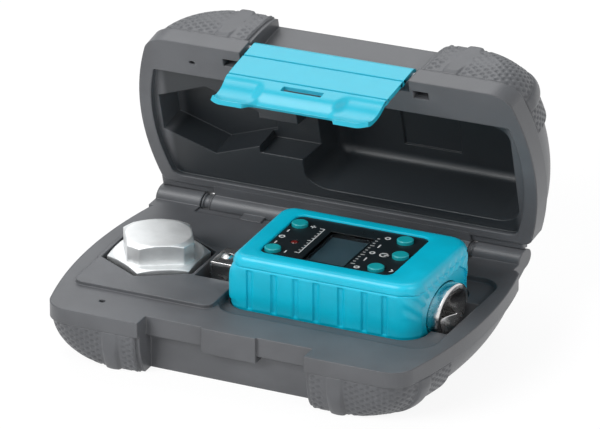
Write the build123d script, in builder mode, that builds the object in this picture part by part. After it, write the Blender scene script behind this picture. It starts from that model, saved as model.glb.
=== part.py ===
from build123d import *
import os
from math import cos, radians, sin, sqrt, tan

os.makedirs("parts", exist_ok=True)

# Digital torque adapter for a half-inch square drive, in its fitted case.
# The origin is under the middle of the case, on the surface that it stands on.
# X runs along the hinge, Y to the rear, Z up. All lengths are millimetres.

# Case: two like halves that meet at a parting plane and turn on a rear hinge
HALF_HEIGHT = 31.5
HINGE_Y = 55.0
OPEN_ANGLE = 79.4
REAR_HALF_WIDTH = 68.2
WIDE_HALF_WIDTH = 73.3
FRONT_HALF_WIDTH = 66.2
REAR_Y = -9.5
WIDE_Y = -52.0
FRONT_Y = -104.0
CORNER_R = 9.0
REAR_CORNER_R = 4.0
RIM_BAND = 8.6
WALL_INSET = 1.7
WALL_CORNER_R = 12.0
FLOOR_CORNER_R = 15.0
END_SWEEP = 6.5
SIDE_SWEEP = 17.0
SWEEP_SHARE = 0.95
WALL_SECTIONS = 4

# Grip pads that wrap the front corners, with a rib on the front and one on the side
PAD_PROUD = 1.0
RIB_PROUD = 1.3
STRIP_X = (32.6, 39.0)
PAD_X = 45.3
RIB_REAR_Y = -87.0
PAD_REAR_Y = -94.0
STRIP_REAR_Y = -73.0
SIDE_PAD_X = 46.0

# Hinge
BARREL_R = 5.1
PIN_R = 1.5
PIN_FIT = 0.05
PIN_REACH = 6.0
BASE_KNUCKLES = ((-70.0, -53.0), (48.7, 65.7))
LID_KNUCKLE = (-49.0, 46.5)
PIN_ENDS = ((BASE_KNUCKLES[0][1], -1), (BASE_KNUCKLES[1][0], 1))
KNUCKLE_ROOT_Y = -11.0
KNUCKLE_WEB = 7.5
STOP_X = (-36.0, 34.0)
STOP_WIDTH = 8.0
STOP_LENGTH = 8.9
STOP_HALF_THICK = 1.4
RIM_GAP = 0.15

# Recess for the latch in the front of both halves
RECESS_HALF_WIDTH = 31.2
RECESS_BAND_Y = -97.0
RECESS_BAND = 10.6
RECESS_WALL_Y = -93.0
BOSS_X = (-9.9, 10.6)
BOSS_Y = -98.0
BOSS_DEPTH = 14.0

# Nest of the drive block, and the raised plate round it
NEST_X = -47.7
NEST_Y = -50.6
NEST_R = 20.2
PLATE_RISE = 2.0
PLATE_X = (-66.0, -13.3)
PLATE_Y = (-82.9, -36.9)
PLATE_CORNER_R = 3.5
PLATE_WALL = 1.6

# Nest of the adapter
TOOL_Y = -49.3
TOOL_Z = 1.0
TRAY_X = (-13.4, 66.8)
TRAY_Y = (-82.0, -19.5)
TRAY_DEPTH = 3.0
TRAY_CORNER_R = 8.0
POCKET_X = (-12.9, 59.2)
POCKET_Y = (-74.0, -24.6)
POCKET_CORNER_R = 8.5
SHAFT_TROUGH_R = 12.0
SHAFT_TROUGH_X = -29.0
COLLAR_TROUGH_R = 14.0
COLLAR_TROUGH_X = 66.0
REST_GAP = 0.1
VENT_R = 1.1
VENT_DEPTH = 4.0
VENT_AT = (-50.2, -92.0)

# Hollows inside the lid, with their depths from its rim
LINER_INSET = 4.6
LINER_Y = (-83.6, -13.4)
LINER_DEPTH = 2.5
LINER_CORNER_R = 10.0
LID_NEST_AT = (-47.5, -53.0)
LID_NEST_R = 22.0
LID_NEST_DEPTH = 16.0
LID_CHANNEL_X = (-30.0, -12.0)
LID_CHANNEL_Y = (-60.0, -37.0)
LID_CHANNEL_DEPTH = 14.6
LID_CAVITY_X = (-14.5, 65.0)
LID_CAVITY_Y = (-82.0, -19.5)
LID_CAVITY_DEPTH = 27.8
LID_CAVITY_CORNER_R = 9.5
LID_CAVITY_DRAFT = 8.0
LID_CAVITY_FLOOR_R = 5.0
PANEL_RELIEF_X = (12.5, 33.5)
PANEL_RELIEF_Y = (-61.0, -33.0)
PANEL_RELIEF_DEPTH = 0.8
LATCH_WINDOW_X = (32.4, 38.0)
LATCH_WINDOW_Y = (-98.0, -93.5)
LATCH_WINDOW_DEPTH = 6.0

# Latch plate, drawn as it stands over the closed case
LATCH_HALF_WIDTH = 29.5
LATCH_PIVOT_Y = -100.6
LATCH_PIVOT_H = 7.5
LATCH_PIN_R = 1.25
LATCH_PIN_END = 34.0
LATCH_FACE_Y = -103.5
LATCH_THICK = 2.6
LATCH_BARREL_R = 2.9
LATCH_FOLD_H = -19.0
LATCH_LIP_H = -27.2
LATCH_LOBE_H = -30.4
LATCH_LOBE_Y = -97.3
LATCH_LOBE_X = 17.5
LATCH_SCOOP_X = 14.0
LATCH_LOBE_R = 4.6
LATCH_GROOVES_H = (-0.3, -13.5)
LATCH_GROOVE = 0.5
LATCH_SLOT_HALF = 7.4
LATCH_SLOT_H = (-19.0, -16.2)
LATCH_DEPTH = 12.0
HOOK_H = (-25.0, -14.6)
HOOK_TIP_Y = -98.3
HOOK_LEAD = 6.0
HOOK_HALF_WIDTH = 8.0

# Adapter housing, measured from the drive axis
BOOT_X = (-9.3, 58.5)
BOOT_HALF_DEPTH = 24.0
BOOT_HALF_HEIGHT = 25.0
BOOT_CORNER_R = 8.0
BOOT_TOP_R = 3.6
BOOT_END_R = 7.5
BOOT_BOTTOM_EDGE = 3.0
BOOT_WALL = 2.2
GROOVE_X = (-3.0, 6.2, 14.2, 21.8, 30.9, 39.5, 46.9)
GROOVE_WIDTH = 1.8
GROOVE_DEPTH = 0.7
GROOVE_Z = (-3.0, 19.0)
WINDOW_X = (-3.0, 45.6)
WINDOW_Y = (-16.3, 17.7)
WINDOW_R = 3.0
PANEL_THICK = 1.2
COLLAR_OPENING_R = 13.4
MALE_OPENING_R = 10.6
END_RECESS_HALF = 18.6
END_RECESS_TOP = 16.5
END_RECESS_CUT = 6.0
END_RECESS_DEPTH = 1.1
SHELL_WALL = 2.0
POST_R = 2.7
POST_X = (-2.6, 51.6)
POST_Y = 17.4
SCREW_R = 1.1
SCREW_HEAD_R = 2.0
SCREW_HEAD = 1.5
SCREW_REACH = 6.0

# Display, buttons and electronics
LCD_X = (13.1, 27.5)
LCD_Y = (-13.9, 9.3)
LCD_RIM = 1.2
LCD_THICK = 3.0
LENS_RIM = 0.8
LENS_THICK = 1.1
BUTTONS = {
    "button_up": (0.4, 10.5),
    "button_down": (0.4, -11.9),
    "button_unit": (38.5, 12.2),
    "button_power": (42.0, 0.3),
    "button_mode": (38.5, -12.0),
}
BUTTON_R = 2.85
BUTTON_PROUD = 1.8
BUTTON_GAP = 0.2
BUTTON_FLANGE_R = 3.4
BUTTON_FLANGE = 0.8
BUTTON_STEM_R = 1.4
BUTTON_STEM = 1.0
BUTTON_EDGE = 0.4
LED_AT = (4.4, -2.8)
LED_R = 1.5
BOARD_Z = 15.0
BOARD_THICK = 1.6
BOARD_GAP = 0.4
MAT_THICK = 1.0
MAT_MARGIN = 2.0
BUZZER_AT = (44.5, 8.0)
BUZZER_R = 4.5
BUZZER_HEIGHT = 3.0
CELL_R = 5.25
CELL_LENGTH = 43.5
CELL_TIP_R = 1.9
CELL_TIP = 1.0
CELL_Y = 7.0
CELL_Z = -15.4
CELL_X = 2.6
CONTACT_THICK = 0.5
CONTACT_HALF = 4.0
DOOR_X = (-1.0, 50.0)
DOOR_HALF = 13.8
DOOR_R = 2.0
DOOR_LEDGE = 1.0
DOOR_SCREW_X = 52.0

# Square drive
SQUARE = 12.7
MALE_END_X = -26.5
MALE_ROOT_X = -13.0
NECK_R = 9.0
JOURNAL_R = 10.0
TORSION_R = 8.0
TORSION_X = (3.0, 47.0)
FEMALE_JOURNAL_R = 11.0
COLLAR_R = 12.8
COLLAR_X = 56.6
FACE_X = 61.4
SOCKET_DEPTH = 12.5
SOCKET_LEAD = 1.4
BUSH_WALL = 2.0
BUSH_LENGTH = 4.5
FLANGE = 1.2
RING_THICK = 1.0
RING_R = 10.8
GAUGE_LENGTH = 9.0
GAUGE_WIDTH = 6.0
GAUGE_THICK = 0.3
FLAT_DEPTH = 1.0
BALL_R = 2.4
BALL_X = -22.0
BALL_PROUD = 1.2
BALL_FIT = 0.05
BALL_HOLE_DEPTH = 9.0
SPRING_WIRE = 0.35
SPRING_TURNS = 3

# Loose drive block
BLOCK_FLATS = 31.5
BLOCK_HEX_HEIGHT = 15.8
BLOCK_TOP_Z = 3.6
BLOCK_BOSS_FLATS = 23.5
BLOCK_BOSS_HEIGHT = 10.8
BLOCK_BOSS_TURN = 30.0
BLOCK_CORNER_CUT = 13.9
BLOCK_SOCKET_DEPTH = 13.0

# Planes that the pieces are drawn on
HINGE = Vector(0, HINGE_Y, HALF_HEIGHT)
DECK = Plane(origin=HINGE)
LID_NORMAL = (0, sin(radians(OPEN_ANGLE)), cos(radians(OPEN_ANGLE)))
LID_HINGE = Plane(origin=HINGE, x_dir=(1, 0, 0), z_dir=LID_NORMAL)
LID = LID_HINGE.offset(RIM_GAP)
LID_SIDE = Plane(origin=HINGE, x_dir=LID_HINGE.y_dir, z_dir=(1, 0, 0))
SIDE = Plane(origin=HINGE, x_dir=(0, 1, 0), z_dir=(1, 0, 0))
TOOL_ORIGIN = HINGE + Vector(0, TOOL_Y, TOOL_Z)
TOOL = Plane(origin=TOOL_ORIGIN)
TOOL_FRONT = Plane(origin=TOOL_ORIGIN, x_dir=(1, 0, 0), z_dir=(0, -1, 0))
TOOL_END = Plane(origin=TOOL_ORIGIN, x_dir=(0, 1, 0), z_dir=(1, 0, 0))
TOOL_AXIS = Axis(TOOL_ORIGIN, (1, 0, 0))


def outline(plane, end_inset=0.0, corner_r=CORNER_R, side_inset=None):
    """Plan of a case half: a straight front and back between bowed sides."""
    if side_inset is None:
        side_inset = end_inset
    front = FRONT_HALF_WIDTH - side_inset
    rear = REAR_HALF_WIDTH - side_inset
    wide = WIDE_HALF_WIDTH - side_inset
    front_y = FRONT_Y + end_inset
    rear_y = REAR_Y - end_inset
    with BuildSketch(plane) as sketch:
        with BuildLine():
            Line((-rear, rear_y), (rear, rear_y))
            ThreePointArc((rear, rear_y), (wide, WIDE_Y), (front, front_y))
            Line((front, front_y), (-front, front_y))
            ThreePointArc((-front, front_y), (-wide, WIDE_Y), (-rear, rear_y))
        make_face()
        fillet(sketch.vertices().group_by(Axis.Y)[0], corner_r)
        fillet(sketch.vertices().group_by(Axis.Y)[-1], REAR_CORNER_R)
    return sketch.sketch


def span(plane, x_range, y_range, corner_r=0.0):
    """Rectangle between two X and two Y values of a plane."""
    width = x_range[1] - x_range[0]
    depth = y_range[1] - y_range[0]
    middle = ((x_range[0] + x_range[1]) / 2, (y_range[0] + y_range[1]) / 2)
    with BuildSketch(plane) as sketch:
        with Locations(middle):
            if corner_r:
                RectangleRounded(width, depth, corner_r)
            else:
                Rectangle(width, depth)
    return sketch.sketch


def disc(plane, radius, at=(0, 0)):
    """Circle on a plane."""
    with BuildSketch(plane) as sketch:
        with Locations(at):
            Circle(radius)
    return sketch.sketch


def hexagon(plane, radius, at):
    """Hexagon with two corners on the Y line through its centre."""
    with BuildSketch(plane) as sketch:
        with Locations(at):
            RegularPolygon(radius, 6, rotation=90)
    return sketch.sketch


def ring(plane, outer_r, inner_r):
    """Flat ring on a plane."""
    with BuildSketch(plane) as sketch:
        Circle(outer_r)
        Circle(inner_r, mode=Mode.SUBTRACT)
    return sketch.sketch


def wall_section(plane, out, height, proud):
    """Section through the bulging walls of a half, at a height from its rim."""
    share = (height - RIM_BAND) / (HALF_HEIGHT - RIM_BAND)
    bulge = 1 - sqrt(1 - (SWEEP_SHARE * share) ** 2)
    corner_r = WALL_CORNER_R + (FLOOR_CORNER_R - WALL_CORNER_R) * share
    end_inset = WALL_INSET - proud + END_SWEEP * bulge
    side_inset = WALL_INSET - proud + SIDE_SWEEP * bulge
    return outline(plane.offset(out * height), end_inset, corner_r, side_inset)


def walls(plane, out, proud=0.0):
    """Walls of a half from its rim band down, drawn in as an ellipse towards the floor."""
    height_step = (HALF_HEIGHT - RIM_BAND) / WALL_SECTIONS
    heights = [RIM_BAND + height_step * step for step in range(WALL_SECTIONS + 1)]
    with BuildPart() as hull:
        loft([wall_section(plane, out, height, proud) for height in heights])
    return hull.part


def grip_band(plane, out, x_ranges, side_y, proud):
    """Raised band on both front corners, in the form of the wall standing proud."""
    with BuildSketch(plane.offset(out * RIM_BAND)) as kept:
        for side in (-1, 1):
            for x_range in x_ranges:
                add(span(Plane.XY, sorted(side * x for x in x_range), (FRONT_Y, PAD_REAR_Y)))
            side_x = sorted((side * SIDE_PAD_X, side * WIDE_HALF_WIDTH))
            add(span(Plane.XY, side_x, side_y))
    with BuildPart() as band:
        extrude(kept.sketch, amount=out * (HALF_HEIGHT - RIM_BAND))
        add(walls(plane, out, proud), mode=Mode.INTERSECT)
    return band.part


def grips(plane, out):
    """Pads that wrap the front corners, and the ribs between them."""
    pad_x = (STRIP_X, (PAD_X, WIDE_HALF_WIDTH))
    rib_x = ((STRIP_X[1], PAD_X),)
    with BuildPart() as both:
        add(grip_band(plane, out, pad_x, (RIB_REAR_Y, STRIP_REAR_Y), PAD_PROUD))
        add(grip_band(plane, out, rib_x, (PAD_REAR_Y, RIB_REAR_Y), RIB_PROUD))
    return both.part


def latch_recess(plane, out):
    """Space in the front wall that the latch lies in, with a deeper lower wall."""
    x_range = (-RECESS_HALF_WIDTH, RECESS_HALF_WIDTH)
    with BuildPart() as recess:
        extrude(span(plane, x_range, (FRONT_Y - RIM_BAND, RECESS_BAND_Y)), amount=out * HALF_HEIGHT)
        step = plane.offset(out * RECESS_BAND)
        extrude(span(step, x_range, (FRONT_Y - RIM_BAND, RECESS_WALL_Y)), amount=out * HALF_HEIGHT)
    return recess.part


def knuckle(side_plane, x_range, out):
    """Barrel of the hinge on a short web that joins the rear wall."""
    start = side_plane.offset(x_range[0])
    length = x_range[1] - x_range[0]
    with BuildPart() as barrel:
        with BuildSketch(start) as profile:
            Circle(BARREL_R)
            with BuildLine():
                web_end = (KNUCKLE_ROOT_Y, out * (BARREL_R + KNUCKLE_WEB))
                Polyline((KNUCKLE_ROOT_Y, 0), (0, 0), (0, out * BARREL_R), web_end, close=True)
            make_face()
        extrude(amount=length)
    return barrel.part


# Lower half of the case
base_walls = walls(DECK, -1)
base_grips = grips(DECK, -1)
base_recess = latch_recess(DECK, -1)
base_knuckles = [knuckle(SIDE, x_range, -1) for x_range in BASE_KNUCKLES]
boot_bottom = TOOL_Z - BOOT_HALF_HEIGHT - REST_GAP
block_bottom = BLOCK_TOP_Z - BLOCK_HEX_HEIGHT - REST_GAP
with BuildPart() as case_base:
    add(base_walls)
    add(base_grips)
    extrude(outline(DECK), amount=-RIM_BAND)
    add(base_recess, mode=Mode.SUBTRACT)
    extrude(span(DECK, BOSS_X, (BOSS_Y, RECESS_WALL_Y)), amount=-BOSS_DEPTH)
    for piece in base_knuckles:
        add(piece)
    with BuildSketch(DECK) as plate:
        add(span(Plane.XY, PLATE_X, PLATE_Y, PLATE_CORNER_R))
        add(hexagon(Plane.XY, NEST_R + PLATE_WALL, (NEST_X, NEST_Y)))
    extrude(plate.sketch, amount=PLATE_RISE)
    top = DECK.offset(PLATE_RISE)
    tray = span(top, TRAY_X, TRAY_Y, TRAY_CORNER_R)
    extrude(tray, amount=-TRAY_DEPTH - PLATE_RISE, mode=Mode.SUBTRACT)
    pocket = span(top, POCKET_X, POCKET_Y, POCKET_CORNER_R)
    extrude(pocket, amount=boot_bottom - PLATE_RISE, mode=Mode.SUBTRACT)
    nest = hexagon(top, NEST_R, (NEST_X, NEST_Y))
    extrude(nest, amount=block_bottom - PLATE_RISE, mode=Mode.SUBTRACT)
    trough = disc(TOOL_END.offset(SHAFT_TROUGH_X), SHAFT_TROUGH_R)
    extrude(trough, amount=POCKET_X[0] - SHAFT_TROUGH_X, mode=Mode.SUBTRACT)
    trough = disc(TOOL_END.offset(POCKET_X[1]), COLLAR_TROUGH_R)
    extrude(trough, amount=COLLAR_TROUGH_X - POCKET_X[1], mode=Mode.SUBTRACT)
    extrude(disc(DECK, VENT_R, VENT_AT), amount=-VENT_DEPTH, mode=Mode.SUBTRACT)
    for inner_x, side in PIN_ENDS:
        extrude(disc(SIDE.offset(inner_x), PIN_R), amount=side * PIN_REACH, mode=Mode.SUBTRACT)
case_base.part.label = "case_base"
export_step(case_base.part, "parts/case_base.step")

# Upper half of the case, standing open
lid_walls = walls(LID, 1)
lid_grips = grips(LID, 1)
lid_recess = latch_recess(LID, 1)
lid_knuckle = knuckle(LID_SIDE, LID_KNUCKLE, 1)
with BuildPart() as case_lid:
    add(lid_walls)
    add(lid_grips)
    extrude(outline(LID), amount=RIM_BAND)
    add(lid_recess, mode=Mode.SUBTRACT)
    add(lid_knuckle)
    for stop_x in STOP_X:
        stop = span(LID_SIDE.offset(stop_x), (-STOP_HALF_THICK, STOP_HALF_THICK), (-STOP_LENGTH, 0))
        extrude(stop, amount=STOP_WIDTH)
    with BuildSketch(LID) as liner:
        add(outline(Plane.XY, LINER_INSET, LINER_CORNER_R))
        liner_x = (-WIDE_HALF_WIDTH, WIDE_HALF_WIDTH)
        add(span(Plane.XY, liner_x, LINER_Y, LINER_CORNER_R), mode=Mode.INTERSECT)
    extrude(liner.sketch, amount=LINER_DEPTH, mode=Mode.SUBTRACT)
    extrude(hexagon(LID, LID_NEST_R, LID_NEST_AT), amount=LID_NEST_DEPTH, mode=Mode.SUBTRACT)
    extrude(span(LID, LID_CHANNEL_X, LID_CHANNEL_Y), amount=LID_CHANNEL_DEPTH, mode=Mode.SUBTRACT)
    cavity = span(LID, LID_CAVITY_X, LID_CAVITY_Y, LID_CAVITY_CORNER_R)
    extrude(cavity, amount=LID_CAVITY_DEPTH, taper=LID_CAVITY_DRAFT, mode=Mode.SUBTRACT)
    floor_plane = LID.offset(LID_CAVITY_DEPTH)
    cavity_middle = floor_plane.from_local_coords(Vector(sum(LID_CAVITY_X) / 2, sum(LID_CAVITY_Y) / 2, 0))
    cavity_floor = case_lid.faces().filter_by(floor_plane).sort_by_distance(cavity_middle)[0]
    fillet(cavity_floor.edges(), LID_CAVITY_FLOOR_R)
    panel_relief = span(floor_plane, PANEL_RELIEF_X, PANEL_RELIEF_Y)
    extrude(panel_relief, amount=PANEL_RELIEF_DEPTH, mode=Mode.SUBTRACT)
    for side in (-1, 1):
        window_x = sorted((side * LATCH_WINDOW_X[0], side * LATCH_WINDOW_X[1]))
        window = span(LID, window_x, LATCH_WINDOW_Y)
        extrude(window, amount=LATCH_WINDOW_DEPTH, mode=Mode.SUBTRACT)
    extrude(disc(LID, VENT_R, VENT_AT), amount=VENT_DEPTH, mode=Mode.SUBTRACT)
    lid_bore = disc(SIDE.offset(LID_KNUCKLE[0]), PIN_R + PIN_FIT)
    extrude(lid_bore, amount=PIN_REACH, mode=Mode.SUBTRACT)
    lid_bore = disc(SIDE.offset(LID_KNUCKLE[1]), PIN_R + PIN_FIT)
    extrude(lid_bore, amount=-PIN_REACH, mode=Mode.SUBTRACT)
    pin_at = (LATCH_PIVOT_Y, LATCH_PIVOT_H)
    pin_hole = disc(LID_SIDE.offset(-LATCH_PIN_END), LATCH_PIN_R, pin_at)
    extrude(pin_hole, amount=2 * LATCH_PIN_END, mode=Mode.SUBTRACT)
case_lid.part.label = "case_lid"
export_step(case_lid.part, "parts/case_lid.step")

# Short steel pins, one across each gap between the knuckles
with BuildPart() as hinge_pins:
    for inner_x, side in PIN_ENDS:
        other_x = LID_KNUCKLE[0] if side < 0 else LID_KNUCKLE[1]
        start = SIDE.offset(inner_x + side * PIN_REACH)
        extrude(disc(start, PIN_R), amount=other_x - inner_x - 2 * side * PIN_REACH)
hinge_pins.part.label = "hinge_pins"
export_step(hinge_pins.part, "parts/hinge_pins.step")

# Latch: its face, folded lip and hook drawn from the side, cut to the front outline
latch_inner_y = LATCH_FACE_Y + LATCH_THICK
latch_from = LID_SIDE.offset(-LATCH_HALF_WIDTH)
latch_front = Plane(origin=LID_HINGE.origin, x_dir=(1, 0, 0), z_dir=-LID_HINGE.y_dir)
with BuildPart() as latch:
    with BuildSketch(latch_from) as plate_side:
        with Locations((LATCH_PIVOT_Y, LATCH_PIVOT_H)):
            Circle(LATCH_BARREL_R)
        with BuildLine():
            Polyline(
                (LATCH_FACE_Y, LATCH_PIVOT_H),
                (LATCH_FACE_Y, LATCH_FOLD_H),
                (latch_inner_y, LATCH_FOLD_H),
                (latch_inner_y, LATCH_PIVOT_H),
                close=True,
            )
        make_face()
    extrude(plate_side.sketch, amount=2 * LATCH_HALF_WIDTH)
    with BuildSketch(LID_SIDE.offset(-LATCH_SCOOP_X)) as lip_side:
        with BuildLine():
            outer_lip = Line((LATCH_FACE_Y, LATCH_FOLD_H), (LATCH_FACE_Y, LATCH_LIP_H + LATCH_THICK))
            JernArc(outer_lip @ 1, (0, -1), LATCH_THICK, 90)
            Line((latch_inner_y, LATCH_LIP_H), (LATCH_LOBE_Y, LATCH_LIP_H))
            Line((LATCH_LOBE_Y, LATCH_LIP_H), (LATCH_LOBE_Y, LATCH_LIP_H + LATCH_THICK))
            Line((LATCH_LOBE_Y, LATCH_LIP_H + LATCH_THICK), (latch_inner_y, LATCH_LIP_H + LATCH_THICK))
            Line((latch_inner_y, LATCH_LIP_H + LATCH_THICK), (latch_inner_y, LATCH_FOLD_H))
            Line((latch_inner_y, LATCH_FOLD_H), (LATCH_FACE_Y, LATCH_FOLD_H))
        make_face()
    extrude(lip_side.sketch, amount=2 * LATCH_SCOOP_X)
    for scoop_x in (-LATCH_HALF_WIDTH, LATCH_SCOOP_X):
        with BuildSketch(LID_SIDE.offset(scoop_x)) as scoop_side:
            with BuildLine():
                face_top = (LATCH_FACE_Y, LATCH_FOLD_H)
                face_end = (LATCH_LOBE_Y - LATCH_THICK, LATCH_LOBE_H + LATCH_THICK)
                back_end = (LATCH_LOBE_Y, LATCH_LOBE_H + LATCH_THICK)
                back_top = (latch_inner_y, LATCH_FOLD_H)
                TangentArc(face_end, face_top, tangent=(0, 1))
                Polyline(face_end, (face_end[0], LATCH_LOBE_H), (back_end[0], LATCH_LOBE_H), back_end)
                TangentArc(back_end, back_top, tangent=(0, 1))
                Line(back_top, face_top)
            make_face()
        extrude(scoop_side.sketch, amount=LATCH_HALF_WIDTH - LATCH_SCOOP_X)
    with BuildSketch(LID_SIDE.offset(-HOOK_HALF_WIDTH)) as hook_side:
        with BuildLine():
            Polyline(
                (latch_inner_y, HOOK_H[1]),
                (HOOK_TIP_Y, HOOK_H[1]),
                (HOOK_TIP_Y, HOOK_H[0] + HOOK_LEAD),
                (latch_inner_y, HOOK_H[0]),
                close=True,
            )
        make_face()
    extrude(hook_side.sketch, amount=2 * HOOK_HALF_WIDTH)
    with BuildSketch(latch_front.offset(-LATCH_FACE_Y + LATCH_THICK)) as front_view:
        with BuildLine():
            top_h = LATCH_PIVOT_H + LATCH_BARREL_R
            Polyline(
                (-LATCH_HALF_WIDTH, top_h),
                (-LATCH_HALF_WIDTH, LATCH_LOBE_H),
                (-LATCH_LOBE_X, LATCH_LOBE_H),
                (-LATCH_SCOOP_X, LATCH_LIP_H),
                (LATCH_SCOOP_X, LATCH_LIP_H),
                (LATCH_LOBE_X, LATCH_LOBE_H),
                (LATCH_HALF_WIDTH, LATCH_LOBE_H),
                (LATCH_HALF_WIDTH, top_h),
                close=True,
            )
        make_face()
        fillet(front_view.vertices().group_by(Axis.Y)[0], LATCH_LOBE_R)
    extrude(front_view.sketch, amount=-LATCH_DEPTH, mode=Mode.INTERSECT)
    for groove_h in LATCH_GROOVES_H:
        groove_y = (LATCH_FACE_Y - LATCH_GROOVE, LATCH_FACE_Y + LATCH_GROOVE)
        groove = span(latch_from, groove_y, (groove_h - LATCH_GROOVE, groove_h + LATCH_GROOVE))
        extrude(groove, amount=2 * LATCH_HALF_WIDTH, mode=Mode.SUBTRACT)
    slot_h = (LATCH_SLOT_H[0] + LATCH_SLOT_H[1]) / 2
    with BuildSketch(latch_front.offset(-LATCH_FACE_Y + LATCH_THICK)) as slot:
        with Locations((0, slot_h)):
            SlotOverall(2 * LATCH_SLOT_HALF, LATCH_SLOT_H[1] - LATCH_SLOT_H[0])
    extrude(slot.sketch, amount=-2 * LATCH_THICK, mode=Mode.SUBTRACT)
    bore = disc(latch_from, LATCH_PIN_R + PIN_FIT, (LATCH_PIVOT_Y, LATCH_PIVOT_H))
    extrude(bore, amount=2 * LATCH_HALF_WIDTH, mode=Mode.SUBTRACT)
latch.part.label = "latch"
export_step(latch.part, "parts/latch.step")

# Steel pin that the latch turns on
with BuildPart() as latch_pin:
    pin_start = LID_SIDE.offset(-LATCH_PIN_END)
    extrude(disc(pin_start, LATCH_PIN_R, (LATCH_PIVOT_Y, LATCH_PIVOT_H)), amount=2 * LATCH_PIN_END)
latch_pin.part.label = "latch_pin"
export_step(latch_pin.part, "parts/latch_pin.step")


def rounded_box(x_range, half_depth, z_range, corner_r):
    """Box about the drive axis with rounded upright corners."""
    plan = span(TOOL.offset(z_range[0]), x_range, (-half_depth, half_depth), corner_r)
    with BuildPart() as box:
        extrude(plan, amount=z_range[1] - z_range[0])
    return box.part


# Sizes of the adapter that follow from the others
shell_x = (BOOT_X[0] + BOOT_WALL, BOOT_X[1] - BOOT_WALL)
shell_half_depth = BOOT_HALF_DEPTH - BOOT_WALL
shell_half_height = BOOT_HALF_HEIGHT - BOOT_WALL
shell_corner_r = BOOT_CORNER_R - BOOT_WALL
room_x = (shell_x[0] + SHELL_WALL, shell_x[1] - SHELL_WALL)
room_half_depth = shell_half_depth - SHELL_WALL
room_half_height = shell_half_height - SHELL_WALL
room_corner_r = shell_corner_r - SHELL_WALL
panel_top = shell_half_height + PANEL_THICK
door_plane = TOOL.offset(-BOOT_HALF_HEIGHT)
board_top = BOARD_Z + BOARD_THICK

# Rubber boot: rounded block with grip grooves, open at the window, the ends and the battery door
boot_outer = rounded_box(BOOT_X, BOOT_HALF_DEPTH, (-BOOT_HALF_HEIGHT, BOOT_HALF_HEIGHT), BOOT_CORNER_R)
boot_inner = rounded_box(shell_x, shell_half_depth, (-shell_half_height, shell_half_height), shell_corner_r)
with BuildPart() as boot:
    add(boot_outer)
    fillet(boot.faces().sort_by(Axis.Z)[-1].edges(), BOOT_TOP_R)
    chamfer(boot.faces().sort_by(Axis.Z)[0].edges(), BOOT_BOTTOM_EDGE)
    with BuildSketch(TOOL_FRONT) as end_corner:
        corner_z = (BOOT_HALF_HEIGHT - BOOT_END_R, BOOT_HALF_HEIGHT)
        add(span(Plane.XY, (BOOT_X[1] - BOOT_END_R, BOOT_X[1]), corner_z))
        with Locations((BOOT_X[1] - BOOT_END_R, BOOT_HALF_HEIGHT - BOOT_END_R)):
            Circle(BOOT_END_R, mode=Mode.SUBTRACT)
    extrude(end_corner.sketch, amount=BOOT_HALF_DEPTH, both=True, mode=Mode.SUBTRACT)
    for side in (-1, 1):
        groove_plane = TOOL_FRONT.offset(-side * BOOT_HALF_DEPTH)
        with BuildSketch(groove_plane) as grooves:
            for groove_x in GROOVE_X:
                with Locations((groove_x, (GROOVE_Z[0] + GROOVE_Z[1]) / 2)):
                    SlotOverall(GROOVE_Z[1] - GROOVE_Z[0], GROOVE_WIDTH, rotation=90)
        extrude(grooves.sketch, amount=side * GROOVE_DEPTH, mode=Mode.SUBTRACT)
    add(boot_inner, mode=Mode.SUBTRACT)
    extrude(span(TOOL, WINDOW_X, WINDOW_Y, WINDOW_R), amount=BOOT_HALF_HEIGHT, mode=Mode.SUBTRACT)
    with BuildSketch(TOOL_END.offset(BOOT_X[1] - END_RECESS_DEPTH)) as end_recess:
        with BuildLine():
            cut_y = END_RECESS_HALF - END_RECESS_CUT
            cut_z = END_RECESS_TOP - END_RECESS_CUT
            Polyline(
                (-END_RECESS_HALF, -END_RECESS_TOP),
                (-END_RECESS_HALF, cut_z),
                (-cut_y, END_RECESS_TOP),
                (cut_y, END_RECESS_TOP),
                (END_RECESS_HALF, cut_z),
                (END_RECESS_HALF, -END_RECESS_TOP),
                close=True,
            )
        make_face()
    extrude(end_recess.sketch, amount=BOOT_WALL, mode=Mode.SUBTRACT)
    extrude(disc(TOOL_END, COLLAR_OPENING_R), amount=BOOT_X[1], mode=Mode.SUBTRACT)
    extrude(disc(TOOL_END, MALE_OPENING_R), amount=BOOT_X[0], mode=Mode.SUBTRACT)
    door_x = (DOOR_X[0] - DOOR_LEDGE, DOOR_SCREW_X + 2 * DOOR_LEDGE)
    door_hole = span(door_plane, door_x, (-DOOR_HALF - DOOR_LEDGE, DOOR_HALF + DOOR_LEDGE), DOOR_R)
    extrude(door_hole, amount=BOOT_WALL, mode=Mode.SUBTRACT)
boot.part.label = "boot"
export_step(boot.part, "parts/boot.step")

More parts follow.
